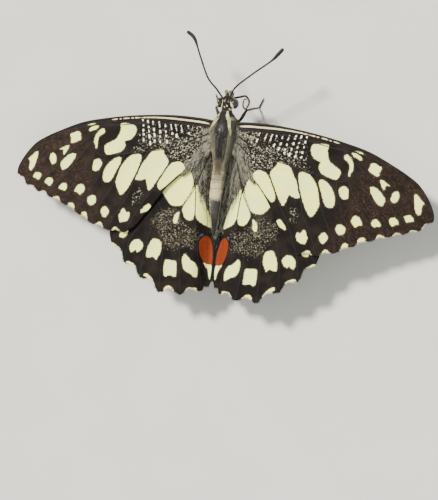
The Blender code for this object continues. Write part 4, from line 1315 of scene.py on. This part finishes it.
class BuildWingHair(bpy.types.Operator):
    """Hair on the wing roots, and the fringe along the outer margins."""

    bl_idname = "swallowtail.wing_hair"
    bl_label = "Wing hair and fringe"

    FRINGE_STEP = 0.05
    ROOT_HAIRS, EDGE_HAIRS, FOLD_HAIRS, INNER_HAIRS = 9000, 4200, 16000, 2200
    ROOT_AREA = [(2.3, -0.8), (3.4, -1.0), (4, -2.2), (4.4, -5), (6, -9), (6.2, -9.8),
                 (2.3, -4.9)]
    FOLD_AREA = [(0.9, -6.4), (4.6, -6.6), (5.6, -9.5), (4.6, -12.6), (3.4, -15.2),
                 (2.0, -18.4), (0.9, -21.6), (0.4, -22.2), (0.6, -15), (0.9, -10)]

    def execute(self, context):
        hair = hair_material("Wing hair and fringe scales")
        for word, side in SIDES.items():
            for kind in WINGS:
                ride(self.fringe(kind, side, word, hair), "wing_scales")
            self.root_hair(side, word, hair)
            self.fold_hair(side, word, hair)
        return {"FINISHED"}

    def fringe(self, kind, side, word, material):
        """A row of flat scales that stand out past the margin, pale at the crescents."""
        draw = np.random.default_rng(41 + side)
        margin = scalloped(kind)
        length = np.linalg.norm(np.diff(margin, axis=0), axis=1).sum()
        count = int(length / self.FRINGE_STEP)
        shares = np.sort(draw.uniform(0, 1, count))
        chart = read_along(margin, shares)
        along = read_along(margin, np.minimum(shares + 0.004, 1)) - read_along(
            margin, np.maximum(shares - 0.004, 0))
        outward = unit(np.stack([-along[:, 1], along[:, 0]], -1))
        outward += draw.normal(0, 0.18, (count, 2))
        pale = smooth_step(deepest(chart, LUNULES[kind]) + 0.25, -0.1, 0.1)
        chart = chart - outward * 0.08
        root = from_chart(kind, side, chart, -0.03)
        tip = from_chart(kind, side, chart + outward * 0.4)
        tints = blend_to(np.tile(tint_of("#2A211B"), (count, 1)), PALE, pale)
        tints *= draw.uniform(0.8, 1.15, count)[:, None]
        places = (chart - chart.min(0)) / np.ptp(chart, axis=0)
        return tufts(f"{kind}wing_fringe_{word}", root, tip - root, UP,
                     draw.uniform(0.28, 0.46, count), draw.uniform(0.07, 0.13, count), tints,
                     places, material, rise=0.02)

    def combed(self, kind, side, chart, way, lengths, share, name, material, drop=0.0):
        """Thin hairs on a wing, combed one way on the chart: some pale and the rest dark."""
        count = len(chart)
        draw = np.random.default_rng(count)
        way = np.array(way) + draw.normal(0, 0.22, (count, 2))
        root = from_chart(kind, side, chart)
        lie = from_chart(kind, side, chart + way * 0.3) - root
        lie[:, 2] -= drop * 0.3
        strand = strands(draw, chart[:, 0] / 0.15 + 8, 1 - chart[:, 1] / 1.3)
        pale = draw.random(count) * 0.5 + strand * 0.5 < share
        tints = blend_to(np.tile(tint_of("#1F1B16"), (count, 1)), tint_of("#CFCAB0"), pale)
        tints *= draw.uniform(0.5, 1.25, count)[:, None]
        places = (chart - chart.min(0)) / np.ptp(chart, axis=0)
        ride(tufts(name, root, lie, UP, draw.uniform(*lengths, count),
                   draw.uniform(0.04, 0.075, count), tints, places, material, rise=0.1),
             "wing_scales")

    def root_hair(self, side, word, material):
        """Grey and olive hair that sweeps back over the fore wing's root and inner edge."""
        chart = scatter(51 + side, self.ROOT_HAIRS, self.ROOT_AREA, fade=1.6)
        self.combed("fore", side, chart, (0.3, -1), (0.6, 1.2), 0.53,
                    f"forewing_root_hair_{word}", material)
        draw = np.random.default_rng(56 + side)
        inner = course_through(WINGS["fore"]["trail"][:3], 0.3)
        edge = read_along(inner, draw.uniform(0, 1, self.EDGE_HAIRS) ** 1.4 * 0.62)
        edge += draw.uniform(0, 0.7, (len(edge), 1)) * (0.3, 0.9)
        self.combed("fore", side, edge, (0.1, -1), (0.9, 1.7), 0.47,
                    f"forewing_edge_hair_{word}", material, drop=0.4)

    def fold_hair(self, side, word, material):
        """Hair on the hind wing's inner strip, and darker hair along its inner edge, partly
        painted shade.
        """
        strip = scatter(61 + side, self.FOLD_HAIRS, self.FOLD_AREA)
        self.combed("hind", side, strip, (0.1, -1), (0.6, 1.35), 0.48,
                    f"hindwing_fold_hair_{word}", material)
        draw = np.random.default_rng(63 + side)
        inner = course_through(WINGS["hind"]["trail"], 0.4)
        edge = read_along(inner, draw.uniform(0, 0.95, self.INNER_HAIRS))
        edge[:, 0] += draw.random(len(edge)) * 0.4
        # Few pale hairs: the edge's own dark hair, darkened further as painted shade beside the
        # abdomen.
        self.combed("hind", side, edge, (-0.5, -1), (0.3, 0.75), 0.1,
                    f"hindwing_inner_fringe_{word}", material)


class BuildEyes(bpy.types.Operator):
    """Two compound eyes with their pale inner border."""

    bl_idname = "swallowtail.eyes"
    bl_label = "Eyes"

    # The photograph shows the pale side of each eye in this direction.
    PALE_WAY = {"left": (-0.86, -0.3, 0.4), "right": (-0.72, -0.5, 0.48)}

    def execute(self, context):
        material = self.lens_material(context.scene.swallowtail_body)
        for word, centre in EYES.items():
            bpy.ops.object.select_all(action="DESELECT")
            bpy.ops.mesh.primitive_uv_sphere_add(segments=96, ring_count=64, radius=1)
            eye = new_piece(f"eye_lens_{word}", material)
            ball = points_of(eye.data)
            write_values(eye.data, "border", ball @ np.array(self.PALE_WAY[word]))
            write_values(eye.data, "facet", ball, "FLOAT_VECTOR")
            move_points(eye.data, np.array(centre) + ball * EYE_RADII)
            ride(eye, "eye_facets", f"eye_{word}")
        return {"FINISHED"}

    def lens_material(self, look):
        """Compound eye: a dome of tiny cornea lenses over dark pigment. It is glossy, with a
        soft broken highlight. Real lenses are 0.025 mm wide; 0.07 mm shows in a picture."""
        material, tree = material_of("Compound eye cornea", roughness=0.16, ior=1.42,
                                     coat_weight=0.4, coat_roughness=0.12)
        place = add(tree, "ShaderNodeAttribute", attribute_name="facet", out="Vector")
        border = add(tree, "ShaderNodeAttribute", attribute_name="border", out="Fac")
        cells = add(tree, "ShaderNodeTexVoronoi", {"Vector": place, "Scale": 15.0})
        cloud = add(tree, "ShaderNodeTexNoise", {"Vector": place, "Scale": 2.5, "Detail": 2.0})
        wavy = add(tree, "ShaderNodeMath", {0: border, 1: cloud}, operation="ADD")
        dark = add(tree, "ShaderNodeMix", {0: cloud, 6: opaque(look.eye),
                                           7: opaque(linear("#241A1C"))}, out=2,
                   data_type="RGBA")
        bump = add(tree, "ShaderNodeBump", {"Strength": 0.35, "Distance": 0.03 * MM,
                                            "Height": cells}, invert=True)
        rough = add(tree, "ShaderNodeMapRange", {"Value": cells, "To Min": 0.12,
                                                 "To Max": 0.35})
        return finished(material, passing(tree, wavy, 1.14, 1.26, dark, linear("#CFC48E")),
                        rough, bump)


class BuildAntennae(bpy.types.Operator):
    """Ringed antennae, each with a bent club."""

    bl_idname = "swallowtail.antennae"
    bl_label = "Antennae"

    RINGS = 46
    SHAFT = 0.2
    CLUB = 0.4
    CLUB_FROM = 0.76  # share of the length

    def execute(self, context):
        look = context.scene.swallowtail_body
        shell = cuticle_material("Antenna cuticle", look.cuticle[:], linear("#231913"), 0.5)
        for word, knots in FEELERS.items():
            along = np.linspace(0, 1, self.RINGS * 6)
            course = read_along(course_through(knots, 0.3), along)
            swell = np.clip((along - self.CLUB_FROM) / (1 - self.CLUB_FROM), 0, 1)
            radii = self.SHAFT + (self.CLUB - self.SHAFT) * np.sin(swell * 2.35) ** 1.2
            radii *= 1 - 0.16 * np.abs(np.cos(along * self.RINGS * math.pi)) ** 8
            radii[:6] *= np.linspace(1.5, 1, 6)
            radii[-4:] *= (0.9, 0.75, 0.5, 0.15)
            horn = round_limb(f"antenna_shaft_{word}", course, radii, shell)
            ride(horn, "antenna_chitin", f"antenna_{word}")
        return {"FINISHED"}


class BuildPalps(bpy.types.Operator):
    """Labial palps: short feelers in front of the face, thick with pale hair."""

    bl_idname = "swallowtail.palps"
    bl_label = "Palps"

    HAIRS = 1500

    def execute(self, context):
        core = cuticle_material("Palp cuticle", linear("#3A3126"), linear("#8C8468"), 0.6)
        hair = hair_material("Palp hair")
        for word, side in SIDES.items():
            knots = [(side * x - 0.1, y, z) for x, y, z in PALP_ROUTE]
            course = course_through(knots, 0.12)
            radii = np.interp(np.linspace(0, 1, len(course)), [0, 0.4, 0.8, 1],
                              [0.26, 0.28, 0.2, 0.06])
            palp = round_limb(f"palp_core_{word}", course, radii, core)
            ride(palp, "palp_hair", f"palp_{word}")
            ride(self.hair(word, course, radii, hair, side), "palp_hair")
        return {"FINISHED"}

    def hair(self, word, course, radii, material, side):
        """Hair all round a palp, pale with some dark ones among it."""
        draw = np.random.default_rng(71 + side)
        count = self.HAIRS
        at, along, out, roots = on_limb(draw, course, radii, count)
        dark = 0.85 * (draw.random(count) < 0.35)
        tints = blend_to(np.tile(STRAW * 1.5, (count, 1)), BLACK, dark)
        return tufts(f"palp_hair_{word}", roots, along * 0.8 + out * 0.55, out,
                     draw.uniform(0.25, 0.5, count), draw.uniform(0.04, 0.07, count),
                     tints, np.stack([turn_of(out), at / len(course)], -1), material, rise=0.15)


class BuildTongue(bpy.types.Operator):
    """The coiled proboscis."""

    bl_idname = "swallowtail.tongue"
    bl_label = "Tongue"

    def execute(self, context):
        look = context.scene.swallowtail_body
        shell = cuticle_material("Proboscis cuticle", look.cuticle[:], linear("#4A3324"), 0.35)
        along = np.linspace(0, 1, 400)
        course = read_along(course_through(TONGUE_ROUTE, 0.2), along)
        radii = np.interp(along, [0, 0.5, 1], [0.24, 0.22, 0.12])
        radii *= 1 - 0.05 * np.abs(np.sin(along * 130)) ** 4
        tongue = round_limb("proboscis_coil", course, radii, shell)
        ride(tongue, "tongue_chitin", "proboscis")
        return {"FINISHED"}


class BuildLegs(bpy.types.Operator):
    """Six jointed legs with spines, spurs and claws."""

    bl_idname = "swallowtail.legs"
    bl_label = "Legs"

    TOES = 4
    SPINES_PER_MM = 60
    BARE_SOLE = 0.65  # height above the floor up to which a foot has no spines

    def execute(self, context):
        look = context.scene.swallowtail_body
        shell = cuticle_material("Leg cuticle", look.cuticle[:], linear("#3A2C22"), 0.45)
        spines = hair_material("Leg spines")
        for word, side in SIDES.items():
            for name, route in LEG_ROUTES.items():
                knots = np.array([(side * x, y, z) for x, y, z in route])
                self.leg(name, word, knots, shell, spines)
        return {"FINISHED"}

    def stretches(self, knots):
        """Each stretch of a leg: both ends, where its middle lies between, and its radii."""
        hip, thigh, knee, ankle, sole, tip = knots
        toes = [sole + (tip - sole) * number / self.TOES for number in range(self.TOES + 1)]
        return [(hip, thigh, 0.6, (0.42, 0.46, 0.3)), (thigh, knee, 0.45, (0.3, 0.36, 0.22)),
                (knee, ankle, 0.5, (0.2, 0.21, 0.2)), (ankle, sole, 0.6, (0.2, 0.17, 0.16)),
                *((*ends, 0.5, (0.13, 0.16, 0.18)) for ends in zip(toes[:-1], toes[1:]))]

    def leg(self, name, word, knots, shell, spines):
        """Hip, thigh, shin and a foot of five parts, with their spines."""
        draw = np.random.default_rng(len(name) + (word == "left"))
        pieces, coats = [], []
        for start, stop, share, widths in self.stretches(knots):
            course = course_through([start, start * (1 - share) + stop * share, stop], 0.12)
            along = np.linspace(0, 1, len(course))
            radii = np.interp(along, [0, 0.5, 1], widths) * (1 - 0.5 * (along > 0.97))
            course[:, 2] += np.maximum(FLOOR - (course[:, 2] - radii), 0)
            pieces.append(round_limb(f"{name}_part", course, radii, shell, sides=2))
            count = int(self.SPINES_PER_MM * np.linalg.norm(stop - start))
            at, way, out, roots = on_limb(draw, course, radii, count)
            clear = course[at, 2] > FLOOR + self.BARE_SOLE
            coats.append(np.hstack([roots, way * 0.9 + out * 0.35, out])[clear])
        pieces += self.claws_and_spurs(name, knots, shell)
        limb = join(f"{name}_shell_{word}", pieces)
        ride(limb, "leg_chitin", f"{name}_{word}")
        roots, ways, outs = np.hsplit(np.vstack(coats), 3)
        count = len(roots)
        pale = draw.random(count) < 0.25
        tints = blend_to(np.tile(BLACK * 1.3, (count, 1)), BEIGE, 0.6 * pale)
        height = (roots[:, 2] - roots[:, 2].min()) / np.ptp(roots[:, 2])
        coat = tufts(f"{name}_spines_{word}", roots, ways, outs,
                     draw.uniform(0.18, 0.42, count), draw.uniform(0.03, 0.05, count), tints,
                     np.stack([turn_of(outs), height], -1), spines, rise=0.1)
        ride(coat, "leg_chitin")

    def claws_and_spurs(self, name, knots, shell):
        """Two claws at the tip and, but for the fore legs, two spurs at the ankle."""
        *_, knee, ankle, sole, tip = knots
        forward = (tip - sole) / np.linalg.norm(tip - sole)
        beside = np.array([-forward[1], forward[0], 0])
        claws = [course_through([tip, tip + forward * 0.2 + beside * way * 0.12 + (0, 0, 0.05),
                                 tip + forward * 0.34 + beside * way * 0.16 - (0, 0, 0.1)], 0.05)
                 for way in (-1, 1)]
        spurs = [course_through([ankle, ankle + (knee - ankle) * -0.06 + beside * way * 0.4
                                 - (0, 0, 0.3)], 0.1)
                 for way in (-1, 1) if name != "leg_fore"]
        return [round_limb(f"{name}_{word}", course, np.linspace(0.07, end, len(course)), shell,
                           sides=1)
                for word, courses, end in (("claw", claws, 0.015), ("spur", spurs, 0.02))
                for course in courses]


class SWALLOWTAIL_PT_build(bpy.types.Panel):
    """Lists the steps that build the butterfly, with their sizes and colours."""

    bl_label = "Swallowtail"
    bl_idname = "SWALLOWTAIL_PT_build"
    bl_space_type = "VIEW_3D"
    bl_region_type = "UI"
    bl_category = "Swallowtail"

    def draw(self, context):
        for group in LOOKS:
            box = self.layout.box()
            look = getattr(context.scene, group)
            for name in look.bl_rna.properties.keys():
                if name not in ("rna_type", "name"):
                    box.prop(look, name)
        for step in STEPS:
            self.layout.operator(step.bl_idname)


LOOKS = {"swallowtail_wings": WingLook, "swallowtail_body": BodyLook,
         "swallowtail_stage": StageLook}
STEPS = (BuildStage, BuildWings, BuildTrunk, BuildCoat, BuildWingHair, BuildEyes,
         BuildAntennae, BuildPalps, BuildTongue, BuildLegs)


def register():
    for group, look in LOOKS.items():
        bpy.utils.register_class(look)
        setattr(bpy.types.Scene, group, PointerProperty(type=look))
    for step in (*STEPS, SWALLOWTAIL_PT_build):
        bpy.utils.register_class(step)


def unregister():
    for step in (*STEPS, SWALLOWTAIL_PT_build):
        bpy.utils.unregister_class(step)
    for group, look in LOOKS.items():
        delattr(bpy.types.Scene, group)
        bpy.utils.unregister_class(look)


def main():
    register()
    for step in STEPS:
        module, name = step.bl_idname.split(".")
        getattr(getattr(bpy.ops, module), name)()
    bpy.ops.object.select_all(action="DESELECT")


if __name__ == "__main__":
    main()
